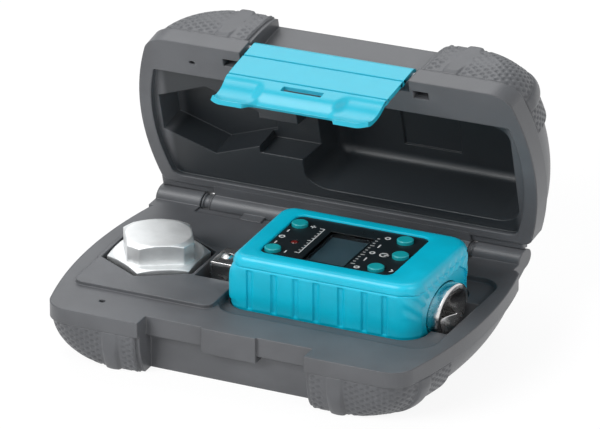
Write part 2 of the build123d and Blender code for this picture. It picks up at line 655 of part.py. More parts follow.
# Upper housing shell, with posts for the screws and openings for the controls
post_places = [(x, y) for x in POST_X for y in (-POST_Y, POST_Y)]
upper_outer = rounded_box(shell_x, shell_half_depth, (0, shell_half_height), shell_corner_r)
upper_room = rounded_box(room_x, room_half_depth, (0, room_half_height), room_corner_r)
with BuildPart() as housing_upper:
    add(upper_outer)
    add(upper_room, mode=Mode.SUBTRACT)
    with BuildSketch(TOOL) as posts:
        with Locations(post_places):
            Circle(POST_R)
    extrude(posts.sketch, amount=room_half_height)
    with BuildSketch(TOOL) as post_holes:
        with Locations(post_places):
            Circle(SCREW_R)
    extrude(post_holes.sketch, amount=SCREW_REACH, mode=Mode.SUBTRACT)
    with BuildSketch(TOOL.offset(room_half_height)) as openings:
        add(span(Plane.XY, LCD_X, LCD_Y))
        with Locations(list(BUTTONS.values())):
            Circle(BUTTON_R + BUTTON_GAP)
        with Locations(LED_AT):
            Circle(LED_R)
    extrude(openings.sketch, amount=SHELL_WALL, mode=Mode.SUBTRACT)
    extrude(disc(TOOL_END, FEMALE_JOURNAL_R + BUSH_WALL), amount=BOOT_X[1], mode=Mode.SUBTRACT)
    extrude(disc(TOOL_END, JOURNAL_R + BUSH_WALL), amount=BOOT_X[0], mode=Mode.SUBTRACT)
housing_upper.part.label = "housing_upper"
export_step(housing_upper.part, "parts/housing_upper.step")

# Lower housing shell, with the battery door's opening and the screw posts
lower_outer = rounded_box(shell_x, shell_half_depth, (-shell_half_height, 0), shell_corner_r)
lower_room = rounded_box(room_x, room_half_depth, (-room_half_height, 0), room_corner_r)
head_plane = TOOL.offset(-shell_half_height)
with BuildPart() as housing_lower:
    add(lower_outer)
    add(lower_room, mode=Mode.SUBTRACT)
    with BuildSketch(TOOL) as posts:
        with Locations(post_places):
            Circle(POST_R)
    extrude(posts.sketch, amount=-room_half_height)
    with BuildSketch(head_plane) as post_holes:
        with Locations(post_places):
            Circle(SCREW_R)
    extrude(post_holes.sketch, amount=shell_half_height, mode=Mode.SUBTRACT)
    with BuildSketch(head_plane) as head_holes:
        with Locations(post_places):
            Circle(SCREW_HEAD_R)
    extrude(head_holes.sketch, amount=SCREW_HEAD, mode=Mode.SUBTRACT)
    door_gap = span(head_plane, DOOR_X, (-DOOR_HALF, DOOR_HALF))
    extrude(door_gap, amount=SHELL_WALL, mode=Mode.SUBTRACT)
    extrude(disc(head_plane, SCREW_R, (DOOR_SCREW_X, 0)), amount=SHELL_WALL, mode=Mode.SUBTRACT)
    extrude(disc(TOOL_END, FEMALE_JOURNAL_R + BUSH_WALL), amount=BOOT_X[1], mode=Mode.SUBTRACT)
    extrude(disc(TOOL_END, JOURNAL_R + BUSH_WALL), amount=BOOT_X[0], mode=Mode.SUBTRACT)
housing_lower.part.label = "housing_lower"
export_step(housing_lower.part, "parts/housing_lower.step")

# Four screws that hold the shells together
with BuildPart() as housing_screws:
    with BuildSketch(head_plane) as heads:
        with Locations(post_places):
            Circle(SCREW_HEAD_R)
    extrude(heads.sketch, amount=SCREW_HEAD)
    with BuildSketch(head_plane) as shanks:
        with Locations(post_places):
            Circle(SCREW_R)
    extrude(shanks.sketch, amount=shell_half_height + SCREW_REACH)
housing_screws.part.label = "housing_screws"
export_step(housing_screws.part, "parts/housing_screws.step")

# Battery door with its tongue, flush with the underside of the boot
with BuildPart() as battery_cover:
    tongue_x = (DOOR_X[0] - DOOR_LEDGE / 2, DOOR_SCREW_X + 1.5 * DOOR_LEDGE)
    plate = span(door_plane, tongue_x, (-DOOR_HALF, DOOR_HALF), DOOR_R)
    extrude(plate, amount=BOOT_WALL)
    plug_x = (DOOR_X[0] + REST_GAP, DOOR_X[1] - REST_GAP)
    plug = span(head_plane, plug_x, (-DOOR_HALF + REST_GAP, DOOR_HALF - REST_GAP))
    extrude(plug, amount=SHELL_WALL)
    extrude(disc(door_plane, SCREW_R, (DOOR_SCREW_X, 0)), amount=BOOT_WALL, mode=Mode.SUBTRACT)
    extrude(disc(door_plane, SCREW_HEAD_R, (DOOR_SCREW_X, 0)), amount=SCREW_HEAD, mode=Mode.SUBTRACT)
battery_cover.part.label = "battery_cover"
export_step(battery_cover.part, "parts/battery_cover.step")

# Screw of the battery door
with BuildPart() as cover_screw:
    extrude(disc(door_plane, SCREW_HEAD_R, (DOOR_SCREW_X, 0)), amount=SCREW_HEAD)
    extrude(disc(door_plane, SCREW_R, (DOOR_SCREW_X, 0)), amount=BOOT_WALL + SHELL_WALL)
cover_screw.part.label = "cover_screw"
export_step(cover_screw.part, "parts/cover_screw.step")

# Control panel that fills the window of the boot
lens_x = (LCD_X[0] - LENS_RIM, LCD_X[1] + LENS_RIM)
lens_y = (LCD_Y[0] - LENS_RIM, LCD_Y[1] + LENS_RIM)
panel_base = TOOL.offset(shell_half_height)
with BuildPart() as front_panel:
    extrude(span(panel_base, WINDOW_X, WINDOW_Y, WINDOW_R), amount=PANEL_THICK)
    extrude(span(panel_base, lens_x, lens_y), amount=PANEL_THICK, mode=Mode.SUBTRACT)
    with BuildSketch(panel_base) as openings:
        with Locations(list(BUTTONS.values())):
            Circle(BUTTON_R + BUTTON_GAP)
        with Locations(LED_AT):
            Circle(LED_R)
    extrude(openings.sketch, amount=PANEL_THICK, mode=Mode.SUBTRACT)
front_panel.part.label = "front_panel"
export_step(front_panel.part, "parts/front_panel.step")

# Clear window over the display
with BuildPart() as display_lens:
    extrude(span(panel_base, lens_x, lens_y), amount=LENS_THICK)
display_lens.part.label = "display_lens"
export_step(display_lens.part, "parts/display_lens.step")

# Display module, pressed against the inside of the upper shell
rim_x = (LCD_X[0] - LCD_RIM, LCD_X[1] + LCD_RIM)
rim_y = (LCD_Y[0] - LCD_RIM, LCD_Y[1] + LCD_RIM)
with BuildPart() as lcd_module:
    extrude(span(TOOL.offset(room_half_height), rim_x, rim_y), amount=-LCD_THICK)
lcd_module.part.label = "lcd_module"
export_step(lcd_module.part, "parts/lcd_module.step")

# Indicator light, on the circuit board and up through the panel
with BuildPart() as status_led:
    extrude(disc(TOOL.offset(board_top), LED_R, LED_AT), amount=panel_top - board_top)
    chamfer(status_led.edges().group_by(Axis.Z)[-1], LED_R / 3)
status_led.part.label = "status_led"
export_step(status_led.part, "parts/status_led.step")

# Five push buttons, each a cap with a flange under the shell and a stem over its switch
for name, place in BUTTONS.items():
    flange_top = TOOL.offset(room_half_height - REST_GAP)
    with BuildPart() as button:
        cap_height = panel_top + BUTTON_PROUD - room_half_height + REST_GAP
        extrude(disc(flange_top, BUTTON_R, place), amount=cap_height)
        chamfer(button.edges().group_by(Axis.Z)[-1], BUTTON_EDGE)
        extrude(disc(flange_top, BUTTON_FLANGE_R, place), amount=-BUTTON_FLANGE)
        extrude(disc(flange_top, BUTTON_STEM_R, place), amount=-BUTTON_FLANGE - BUTTON_STEM)
    button.part.label = name
    export_step(button.part, f"parts/{name}.step")

# Circuit board, cut back round the screw posts
board_x = (room_x[0] + BOARD_GAP, room_x[1] - BOARD_GAP)
board_half = room_half_depth - BOARD_GAP
with BuildPart() as circuit_board:
    extrude(span(TOOL.offset(BOARD_Z), board_x, (-board_half, board_half)), amount=BOARD_THICK)
    with BuildSketch(TOOL.offset(BOARD_Z)) as notches:
        with Locations(post_places):
            Circle(POST_R + BOARD_GAP)
            Rectangle(2 * POST_R, 4 * POST_R)
            Rectangle(4 * POST_R, 2 * POST_R)
    extrude(notches.sketch, amount=BOARD_THICK, mode=Mode.SUBTRACT)
circuit_board.part.label = "circuit_board"
export_step(circuit_board.part, "parts/circuit_board.step")

# Rubber key mat on the board, open at the display and the light
mat_x = (board_x[0] + MAT_MARGIN + POST_R, board_x[1] - MAT_MARGIN - POST_R)
with BuildPart() as key_mat:
    mat_y = (-board_half + MAT_MARGIN, board_half - MAT_MARGIN)
    extrude(span(TOOL.offset(board_top), mat_x, mat_y, MAT_MARGIN), amount=MAT_THICK)
    extrude(span(TOOL.offset(board_top), rim_x, rim_y), amount=MAT_THICK, mode=Mode.SUBTRACT)
    extrude(disc(TOOL.offset(board_top), LED_R, LED_AT), amount=MAT_THICK, mode=Mode.SUBTRACT)
key_mat.part.label = "key_mat"
export_step(key_mat.part, "parts/key_mat.step")

# Buzzer under the board
with BuildPart() as buzzer:
    board_under = TOOL.offset(BOARD_Z)
    extrude(disc(board_under, BUZZER_R, BUZZER_AT), amount=-BUZZER_HEIGHT)
    sound_hole = disc(board_under, BUZZER_R / 3, BUZZER_AT)
    extrude(sound_hole, amount=-BUZZER_HEIGHT / 2, mode=Mode.SUBTRACT)
buzzer.part.label = "buzzer"
export_step(buzzer.part, "parts/buzzer.step")

# Two cells side by side, their tips to opposite ends
cell_end = CELL_X + CELL_LENGTH
with BuildPart() as batteries:
    for cell_y, tip_x, way in ((-CELL_Y, cell_end, 1), (CELL_Y, CELL_X, -1)):
        extrude(disc(TOOL_END.offset(CELL_X), CELL_R, (cell_y, CELL_Z)), amount=CELL_LENGTH)
        extrude(disc(TOOL_END.offset(tip_x), CELL_TIP_R, (cell_y, CELL_Z)), amount=way * CELL_TIP)
batteries.part.label = "batteries"
export_step(batteries.part, "parts/batteries.step")

# Contact plates against both ends of the cells
with BuildPart() as battery_contacts:
    contact_z = (CELL_Z - CONTACT_HALF, CELL_Z + CONTACT_HALF)
    for cell_y in (-CELL_Y, CELL_Y):
        contact_y = (cell_y - CONTACT_HALF, cell_y + CONTACT_HALF)
        extrude(span(TOOL_END.offset(CELL_X - CELL_TIP), contact_y, contact_z), amount=-CONTACT_THICK)
        extrude(span(TOOL_END.offset(cell_end + CELL_TIP), contact_y, contact_z), amount=CONTACT_THICK)
battery_contacts.part.label = "battery_contacts"
export_step(battery_contacts.part, "parts/battery_contacts.step")

# Drive shaft, turned from one bar, with a male square, a torsion section and a female square
half_square = SQUARE / 2
with BuildPart() as drive_shaft:
    with BuildSketch(TOOL_FRONT) as turned:
        with BuildLine():
            Polyline(
                (MALE_ROOT_X, 0),
                (MALE_ROOT_X, NECK_R),
                (BOOT_X[0] - FLANGE, NECK_R),
                (BOOT_X[0] - FLANGE, JOURNAL_R),
                (TORSION_X[0] - FLANGE, JOURNAL_R),
                (TORSION_X[0] + FLANGE, TORSION_R),
                (TORSION_X[1] - FLANGE, TORSION_R),
                (TORSION_X[1] + FLANGE, FEMALE_JOURNAL_R),
                (COLLAR_X - SHELL_WALL, FEMALE_JOURNAL_R),
                (COLLAR_X - SHELL_WALL, COLLAR_R),
                (FACE_X, COLLAR_R),
                (FACE_X, 0),
                close=True,
            )
        make_face()
    revolve(turned.sketch, axis=TOOL_AXIS)
    chamfer(drive_shaft.edges().filter_by(GeomType.CIRCLE).sort_by(Axis.X)[-1], FLANGE / 2)
    square = span(TOOL_END.offset(MALE_END_X), (-half_square, half_square), (-half_square, half_square))
    extrude(square, amount=MALE_ROOT_X - MALE_END_X)
    chamfer(drive_shaft.faces().sort_by(Axis.X)[0].edges(), FLANGE)
    socket = span(TOOL_END.offset(FACE_X), (-half_square, half_square), (-half_square, half_square))
    extrude(socket, amount=-SOCKET_DEPTH, mode=Mode.SUBTRACT)
    lead_r = half_square * sqrt(2) + SOCKET_LEAD
    with BuildSketch(TOOL_FRONT) as lead:
        with BuildLine():
            Polyline((FACE_X, 0), (FACE_X, lead_r), (FACE_X - lead_r, 0), close=True)
        make_face()
    revolve(lead.sketch, axis=TOOL_AXIS, mode=Mode.SUBTRACT)
    ball_hole = disc(TOOL.offset(half_square), BALL_R + BALL_FIT, (BALL_X, 0))
    extrude(ball_hole, amount=-BALL_HOLE_DEPTH, mode=Mode.SUBTRACT)
    gauge_middle = (TORSION_X[0] + TORSION_X[1]) / 2
    gauge_x = (gauge_middle - GAUGE_LENGTH, gauge_middle + GAUGE_LENGTH)
    flat = span(TOOL.offset(TORSION_R - FLAT_DEPTH), gauge_x, (-TORSION_R, TORSION_R))
    extrude(flat, amount=FLAT_DEPTH, mode=Mode.SUBTRACT)
    flat = span(TOOL.offset(FLAT_DEPTH - TORSION_R), gauge_x, (-TORSION_R, TORSION_R))
    extrude(flat, amount=-FLAT_DEPTH, mode=Mode.SUBTRACT)
    ring_groove = ring(TOOL_END.offset(room_x[0] + BUSH_LENGTH - SHELL_WALL), JOURNAL_R, TORSION_R + FLANGE)
    extrude(ring_groove, amount=RING_THICK, mode=Mode.SUBTRACT)
drive_shaft.part.label = "drive_shaft"
export_step(drive_shaft.part, "parts/drive_shaft.step")

# Ball of the male square, with its spring below it in the same hole
ball_z = half_square + BALL_PROUD - BALL_R
hole_floor = half_square - BALL_HOLE_DEPTH
with BuildPart() as detent_ball:
    with BuildSketch(TOOL_FRONT) as half_disc:
        with BuildLine():
            ThreePointArc((BALL_X, ball_z - BALL_R), (BALL_X + BALL_R, ball_z), (BALL_X, ball_z + BALL_R))
            Line((BALL_X, ball_z + BALL_R), (BALL_X, ball_z - BALL_R))
        make_face()
    revolve(half_disc.sketch, axis=Axis(TOOL.from_local_coords(Vector(BALL_X, 0, 0)), (0, 0, 1)))
detent_ball.part.label = "detent_ball"
export_step(detent_ball.part, "parts/detent_ball.step")

spring_height = ball_z - BALL_R - hole_floor - 2 * SPRING_WIRE
coil_r = BALL_R - 2 * SPRING_WIRE
with BuildPart() as detent_spring:
    coil_start = TOOL.from_local_coords(Vector(BALL_X, 0, hole_floor + SPRING_WIRE))
    with BuildLine() as coil:
        Helix(spring_height / SPRING_TURNS, spring_height, coil_r, center=coil_start)
    with BuildSketch(Plane(origin=coil.line @ 0, z_dir=coil.line % 0)) as wire:
        RegularPolygon(SPRING_WIRE, 6)
    sweep(wire.sketch, path=coil.line, is_frenet=True)
detent_spring.part.label = "detent_spring"
export_step(detent_spring.part, "parts/detent_spring.step")

# Strain gauges on the flats of the torsion section
with BuildPart() as strain_gauges:
    half_gauge = GAUGE_LENGTH / 2
    gauge_x = (gauge_middle - half_gauge, gauge_middle + half_gauge)
    for side in (-1, 1):
        gauge_plane = TOOL.offset(side * (TORSION_R - FLAT_DEPTH))
        gauge = span(gauge_plane, gauge_x, (-GAUGE_WIDTH / 2, GAUGE_WIDTH / 2))
        extrude(gauge, amount=side * GAUGE_THICK)
strain_gauges.part.label = "strain_gauges"
export_step(strain_gauges.part, "parts/strain_gauges.step")

# Bush in the end wall at the male square, and the snap ring beside it
with BuildPart() as male_bush:
    extrude(ring(TOOL_END.offset(shell_x[0]), JOURNAL_R + BUSH_WALL, JOURNAL_R), amount=BUSH_LENGTH)
male_bush.part.label = "male_bush"
export_step(male_bush.part, "parts/male_bush.step")

with BuildPart() as retaining_ring:
    snap = ring(TOOL_END.offset(shell_x[0] + BUSH_LENGTH), RING_R, TORSION_R + FLANGE)
    extrude(snap, amount=RING_THICK)
    slit = span(TOOL_END.offset(shell_x[0] + BUSH_LENGTH), (-RING_THICK, RING_THICK), (TORSION_R, RING_R))
    extrude(slit, amount=RING_THICK, mode=Mode.SUBTRACT)
retaining_ring.part.label = "retaining_ring"
export_step(retaining_ring.part, "parts/retaining_ring.step")

# Bush round the shaft at the female end
with BuildPart() as female_bush:
    bush_start = COLLAR_X - SHELL_WALL
    female_ring = ring(TOOL_END.offset(bush_start), FEMALE_JOURNAL_R + BUSH_WALL, FEMALE_JOURNAL_R)
    extrude(female_ring, amount=-BUSH_LENGTH)
female_bush.part.label = "female_bush"
export_step(female_bush.part, "parts/female_bush.step")

# Drive block: a hexagon with a turned square boss above it and a square hole from below
block_top = DECK.offset(BLOCK_TOP_Z)
block_corner_r = BLOCK_FLATS / sqrt(3)
block_axis = Axis(DECK.from_local_coords(Vector(NEST_X, NEST_Y, 0)), (0, 0, 1))
with BuildPart() as drive_block:
    extrude(hexagon(block_top, block_corner_r, (NEST_X, NEST_Y)), amount=-BLOCK_HEX_HEIGHT)
    with BuildSketch(block_top) as boss:
        with Locations((NEST_X, NEST_Y)):
            Rectangle(BLOCK_BOSS_FLATS, BLOCK_BOSS_FLATS, rotation=BLOCK_BOSS_TURN)
            turned_side = BLOCK_BOSS_TURN + 45
            Rectangle(2 * BLOCK_CORNER_CUT, 2 * BLOCK_CORNER_CUT, rotation=turned_side, mode=Mode.INTERSECT)
    extrude(boss.sketch, amount=BLOCK_BOSS_HEIGHT)
    block_side = Plane(origin=block_top.origin + Vector(NEST_X, NEST_Y, 0), x_dir=(1, 0, 0), z_dir=(0, -1, 0))
    with BuildSketch(block_side) as turning:
        with BuildLine():
            boss_r = BLOCK_BOSS_FLATS / 2
            edge_r = BLOCK_FLATS / 2
            corner_drop = (block_corner_r - edge_r) * tan(radians(30))
            boss_drop = (block_corner_r - boss_r) * tan(radians(30))
            Polyline(
                (0, -BLOCK_HEX_HEIGHT),
                (edge_r, -BLOCK_HEX_HEIGHT),
                (block_corner_r, -BLOCK_HEX_HEIGHT + corner_drop),
                (block_corner_r, -corner_drop),
                (edge_r, 0),
                (block_corner_r, 0),
                (block_corner_r, BLOCK_BOSS_HEIGHT - boss_drop),
                (boss_r, BLOCK_BOSS_HEIGHT),
                (0, BLOCK_BOSS_HEIGHT),
                close=True,
            )
        make_face()
    revolve(turning.sketch, axis=block_axis, mode=Mode.INTERSECT)
    hole_plane = block_top.offset(-BLOCK_HEX_HEIGHT)
    with BuildSketch(hole_plane) as hole:
        with Locations((NEST_X, NEST_Y)):
            Rectangle(SQUARE, SQUARE)
    extrude(hole.sketch, amount=BLOCK_SOCKET_DEPTH, mode=Mode.SUBTRACT)
drive_block.part.label = "drive_block"
export_step(drive_block.part, "parts/drive_block.step")
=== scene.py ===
from math import cos, hypot, pi, radians, sin, sqrt

import bpy
from bpy.props import FloatProperty, FloatVectorProperty, PointerProperty
from mathutils import Matrix, Vector
from mathutils.bvhtree import BVHTree


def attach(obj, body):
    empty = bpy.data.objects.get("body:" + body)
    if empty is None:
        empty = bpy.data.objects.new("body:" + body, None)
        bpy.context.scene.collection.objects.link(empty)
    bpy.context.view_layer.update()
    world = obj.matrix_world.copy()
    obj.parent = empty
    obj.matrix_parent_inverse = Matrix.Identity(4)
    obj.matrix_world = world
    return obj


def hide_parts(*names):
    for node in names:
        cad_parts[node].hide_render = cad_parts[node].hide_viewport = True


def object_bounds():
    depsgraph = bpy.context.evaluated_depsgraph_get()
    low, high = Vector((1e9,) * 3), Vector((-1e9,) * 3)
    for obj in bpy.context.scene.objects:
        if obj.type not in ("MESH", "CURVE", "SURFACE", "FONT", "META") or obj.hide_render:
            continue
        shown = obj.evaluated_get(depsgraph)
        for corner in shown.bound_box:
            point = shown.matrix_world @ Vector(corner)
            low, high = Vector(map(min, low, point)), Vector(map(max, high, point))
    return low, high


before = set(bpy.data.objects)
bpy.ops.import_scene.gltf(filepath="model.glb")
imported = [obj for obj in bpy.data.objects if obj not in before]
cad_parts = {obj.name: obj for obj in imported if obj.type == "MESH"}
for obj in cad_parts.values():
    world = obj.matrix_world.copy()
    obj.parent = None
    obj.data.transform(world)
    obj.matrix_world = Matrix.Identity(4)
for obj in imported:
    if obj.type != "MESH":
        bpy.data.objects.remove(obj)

bl_info = {
    "name": "Torque Adapter Dressing",
    "version": (1, 0, 0),
    "blender": (4, 5, 0),
    "location": "3D View > Sidebar > Adapter",
    "description": "Dresses the packed torque adapter and its case with finishes, skins and marks",
    "category": "Object",
}

CAD_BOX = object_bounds()
MM = 0.001

# Places that repeat the part's own dimensions, in millimetres
HINGE_Y = 55.0
HINGE_Z = 31.5
TOOL_Y = 5.7
TOOL_Z = 32.5
OPEN_ANGLE = radians(79.4)
RIM_GAP = 0.15


class Value:
    """A shader socket that takes part in arithmetic, one Math node for each operation."""

    def __init__(self, finish, socket):
        self.finish = finish
        self.socket = socket

    def __add__(self, other):
        return self.finish.maths("ADD", self, other)

    def __radd__(self, other):
        return self.finish.maths("ADD", other, self)

    def __sub__(self, other):
        return self.finish.maths("SUBTRACT", self, other)

    def __rsub__(self, other):
        return self.finish.maths("SUBTRACT", other, self)

    def __mul__(self, other):
        return self.finish.maths("MULTIPLY", self, other)

    def __rmul__(self, other):
        return self.finish.maths("MULTIPLY", other, self)

    def __abs__(self):
        return self.finish.maths("ABSOLUTE", self)


class Finish:
    """One procedural material: a Principled shader and the nodes that feed it."""

    def __init__(self, name, **constants):
        self.material = bpy.data.materials.new(name)
        self.material.use_nodes = True
        self.tree = self.material.node_tree
        self.tree.nodes.clear()
        self.shader = self.node("ShaderNodeBsdfPrincipled")
        self.feed(**constants)
        self.node("ShaderNodeOutputMaterial", {}, {"Surface": self.shader.outputs[0]})
        self.place = self.node("ShaderNodeTexCoord").outputs["Object"]

    def node(self, kind, settings=None, sockets=None):
        """A new node: its type, then its settings, then its socket values or links."""
        made = self.tree.nodes.new(kind)
        for key, value in (settings or {}).items():
            setattr(made, key, value)
        for key, value in (sockets or {}).items():
            self.plug(made.inputs[key], value)
        return made

    def plug(self, socket, value):
        """Links a socket to a value or to another socket, or sets it to a constant."""
        if isinstance(value, Value):
            value = value.socket
        if isinstance(value, bpy.types.NodeSocket):
            self.tree.links.new(value, socket)
        else:
            socket.default_value = value

    def maths(self, operation, *terms):
        """The result of one Math node."""
        sockets = dict(enumerate(terms))
        made = self.node("ShaderNodeMath", {"operation": operation}, sockets)
        return Value(self, made.outputs[0])

    def noise(self, scale, detail=2.0, roughness=0.5):
        """Fractal noise over the object's own place, so many features to the metre."""
        sockets = {"Vector": self.place, "Scale": scale, "Detail": detail, "Roughness": roughness}
        return Value(self, self.node("ShaderNodeTexNoise", {}, sockets).outputs["Fac"])

    def cells(self, scale):
        """Distance to the nearest cell centre of a Voronoi pattern."""
        sockets = {"Vector": self.place, "Scale": scale}
        return Value(self, self.node("ShaderNodeTexVoronoi", {}, sockets).outputs["Distance"])

    def ramp(self, value, low, high):
        """A smooth step of a value between two limits."""
        sockets = {"Value": value, "From Min": low, "From Max": high}
        settings = {"interpolation_type": "SMOOTHSTEP"}
        return Value(self, self.node("ShaderNodeMapRange", settings, sockets).outputs["Result"])

    def blend(self, factor, first, second):
        """A colour between two colours."""
        mixer = self.node("ShaderNodeMix", {"data_type": "RGBA"})
        for key, value in (("Factor", factor), ("A", first), ("B", second)):
            socket = next(s for s in mixer.inputs if s.name == key and s.enabled)
            linked = isinstance(value, (Value, bpy.types.NodeSocket))
            self.plug(socket, value if linked else (*value, 1.0))
        return next(s for s in mixer.outputs if s.enabled)

    def feed(self, **inputs):
        """Links or sets sockets of the shader, named with underscores for spaces."""
        for key, value in inputs.items():
            self.plug(self.shader.inputs[key.replace("_", " ")], value)

    def surface(self, colour, roughness, height, depth, edge=0.0):
        """The material, fed, with a bump so many metres deep over edges rounded by a radius."""
        sockets = {"Height": height, "Distance": depth, "Strength": 1.0}
        if edge:
            rounded = self.node("ShaderNodeBevel", {"samples": 8}, {"Radius": edge})
            sockets["Normal"] = rounded.outputs["Normal"]
        bump = self.node("ShaderNodeBump", {}, sockets)
        self.feed(Base_Color=colour, Roughness=roughness, Normal=bump.outputs["Normal"])
        return self.material


# Where the lid's hollows lie, which painted shade darkens in place of their shadow, in metres: depth
# above the rim, distance to each side, and along from the hinge, each with the two ends of its soft
# edge
HOLLOW_FROM = (0.0002, 0.0024)
HOLLOW_TO = (0.0292, 0.0302)
HOLLOW_SIDE = (0.0625, 0.0655)
HOLLOW_REAR = (0.008, 0.012)
HOLLOW_FRONT = (0.089, 0.093)


def lid_hollow_shade(made):
    """1 on the lid's hollows and 0 on its rim and outside, from the place on the opened lid: the mask
    of the painted shade that stands in for the hollows' shadow.
    """
    axes = made.node("ShaderNodeSeparateXYZ", {}, {"Vector": made.place})
    across, back, up = [Value(made, axes.outputs[axis]) for axis in "XYZ"]
    behind, above = back - HINGE_Y * MM, up - HINGE_Z * MM
    depth = behind * sin(OPEN_ANGLE) + above * cos(OPEN_ANGLE)
    along = above * sin(OPEN_ANGLE) - behind * cos(OPEN_ANGLE)
    hollow = made.ramp(depth, *HOLLOW_FROM) * (1.0 - made.ramp(depth, *HOLLOW_TO))
    sides = 1.0 - made.ramp(abs(across), *HOLLOW_SIDE)
    return hollow * sides * made.ramp(along, *HOLLOW_REAR) * (1.0 - made.ramp(along, *HOLLOW_FRONT))


def case_plastic(name, settings, shade_hollows=False):
    """Grained black polypropylene with a broad soft gloss and faint rubbed patches; where asked,
    painted shade darkens the lid's hollows in place of their shadow.
    """
    made = Finish(name, IOR=1.49)
    grain = made.noise(1900.0, 3.0)
    patches = made.noise(38.0, 4.0)
    dark = settings.case_colour
    light = [min(1.0, c * 1.25) for c in dark]
    colour = made.blend(made.ramp(patches, 0.35, 0.7), dark, light)
    if shade_hollows:
        # painted shade: the lid's hollows take a darker colour that stands in for their shadow
        colour = made.blend(lid_hollow_shade(made), colour, settings.hollow_shade_colour)
    roughness = settings.case_roughness - 0.05 + 0.10 * patches
    return made.surface(colour, roughness, grain, settings.case_grain, settings.case_edge)


def rubber(name, colour, roughness, grain_depth, edge):
    """Moulded elastomer: an even colour, a fine matt grain and a soft sheen."""
    made = Finish(name, IOR=1.5, Coat_Weight=0.06, Coat_Roughness=0.3)
    grain = made.noise(2600.0, 2.0)
    clouds = made.noise(55.0, 3.0)
    darker = [c * 0.86 for c in colour]
    shade = made.blend(made.ramp(clouds, 0.3, 0.7), darker, colour)
    return made.surface(shade, roughness - 0.04 + 0.08 * clouds, grain, grain_depth, edge)


def gloss_plastic(name, colour, roughness, edge, coat=0.0):
    """Smooth moulded plastic with the slightest orange peel."""
    made = Finish(name, IOR=1.5, Coat_Weight=coat, Coat_Roughness=0.08)
    waves = made.noise(160.0, 2.0)
    specks = made.noise(900.0, 2.0)
    darker = [c * 0.9 for c in colour]
    shade = made.blend(waves, darker, colour)
    return made.surface(shade, roughness - 0.03 + 0.06 * specks, waves, 0.00003, edge)


def metal(name, colour, roughness, grain_depth, scratches, edge):
    """Plated or machined metal: tiny pits, and patches where handling dulled the shine."""
    made = Finish(name, Metallic=1.0)
    dulling = made.noise(120.0, 5.0, 0.6)
    pits = made.noise(3200.0, 2.0)
    darker = [c * (1.0 - scratches) for c in colour]
    shade = made.blend(made.ramp(dulling, 0.35, 0.65), darker, colour)
    dulled = roughness + scratches * made.ramp(dulling, 0.4, 0.75)
    return made.surface(shade, dulled, pits, grain_depth, edge)


def board(name):
    """Solder mask over glass cloth."""
    made = Finish(name, IOR=1.5)
    weave = made.cells(1400.0)
    shade = made.blend(weave, (0.004, 0.075, 0.025), (0.012, 0.14, 0.05))
    return made.surface(shade, 0.3 + 0.2 * weave, weave, 0.00003, 0.0002)


def film(name):
    """Printed film on the front: near black, smooth, with a trace of wipe marks."""
    made = Finish(name, IOR=1.5)
    wipes = made.noise(70.0, 5.0, 0.6)
    shade = made.blend(wipes, (0.007, 0.011, 0.013), (0.011, 0.017, 0.02))
    return made.surface(shade, 0.20 + 0.22 * wipes, made.noise(2400.0), 0.000008, 0.0002)


def clear_lens(name):
    """Thin clear window."""
    made = Finish(name, IOR=1.49, Transmission_Weight=1.0)
    roughness = 0.03 + 0.05 * made.noise(90.0, 3.0)
    tint = (0.93, 0.97, 0.98, 1.0)
    return made.surface(tint, roughness, made.noise(140.0), 0.00001, 0.0002)


def display(name):
    """Unlit liquid crystal display: a grey polariser with a faint grid of driven cells."""
    made = Finish(name, IOR=1.5)
    tint = made.noise(45.0, 2.0)
    shade = made.blend(tint, (0.048, 0.090, 0.115), (0.062, 0.112, 0.140))
    return made.surface(shade, 0.32 + 0.1 * tint, made.cells(2600.0), 0.000006)


def add_object(name, data=None):
    """A new object in the scene."""
    made = bpy.data.objects.new(name, data)
    bpy.context.scene.collection.objects.link(made)
    return made


def add_mesh(name, vertices, faces, smooth=False):
    """A new object with a mesh. Takes millimetres."""
    mesh = bpy.data.meshes.new(name)
    mesh.from_pydata([tuple(c * MM for c in v) for v in vertices], [], faces, shade_flat=not smooth)
    return add_object(name, mesh)


def make_piece(name, body, vertices, faces, material, replaced=(), smooth=True):
    """A new mesh piece in the shared frame that rides on a body. Takes millimetres."""
    piece = add_mesh(name, vertices, faces, smooth)
    piece.data.validate()
    piece.data.materials.append(material)
    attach(piece, body)
    if replaced:
        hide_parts(*replaced)
    return piece


def apply_modifiers(piece):
    """Keeps the shape that a piece's modifiers make, and drops the modifiers."""
    bpy.context.view_layer.update()
    shown = piece.evaluated_get(bpy.context.evaluated_depsgraph_get())
    mesh = bpy.data.meshes.new_from_object(shown)
    piece.modifiers.clear()
    piece.data = mesh


def dress(material, *names):
    """Puts a material in every slot of the named CAD nodes."""
    for name in names:
        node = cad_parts.get(name)
        if node is None:
            raise RuntimeError(f"the frame has no node called {name}")
        for slot in node.material_slots:
            slot.material = material


def from_tool(x, y, z):
    """A place measured from the drive axis, in the shared frame, in millimetres."""
    return (x, TOOL_Y + y, TOOL_Z + z)


def from_base(x, y, h):
    """A place on the base, so far behind the hinge axis and below the rim, in millimetres."""
    return (x, HINGE_Y + y, HINGE_Z - h)


def from_lid(x, y, h):
    """A place drawn on the shut lid, on the opened lid, in millimetres."""
    rise = h + RIM_GAP
    turn_sin, turn_cos = sin(OPEN_ANGLE), cos(OPEN_ANGLE)
    return (x, HINGE_Y + y * turn_cos + rise * turn_sin, HINGE_Z - y * turn_sin + rise * turn_cos)


def smoothstep(low, high, value):
    """0 below low, 1 above high, and smooth between."""
    share = min(1.0, max(0.0, (value - low) / (high - low)))
    return share * share * (3.0 - 2.0 * share)


def ridge(value, centre, half, fade):
    """1 within half of the centre, fading to 0."""
    return 1.0 - smoothstep(half - fade, half + fade, abs(value - centre))


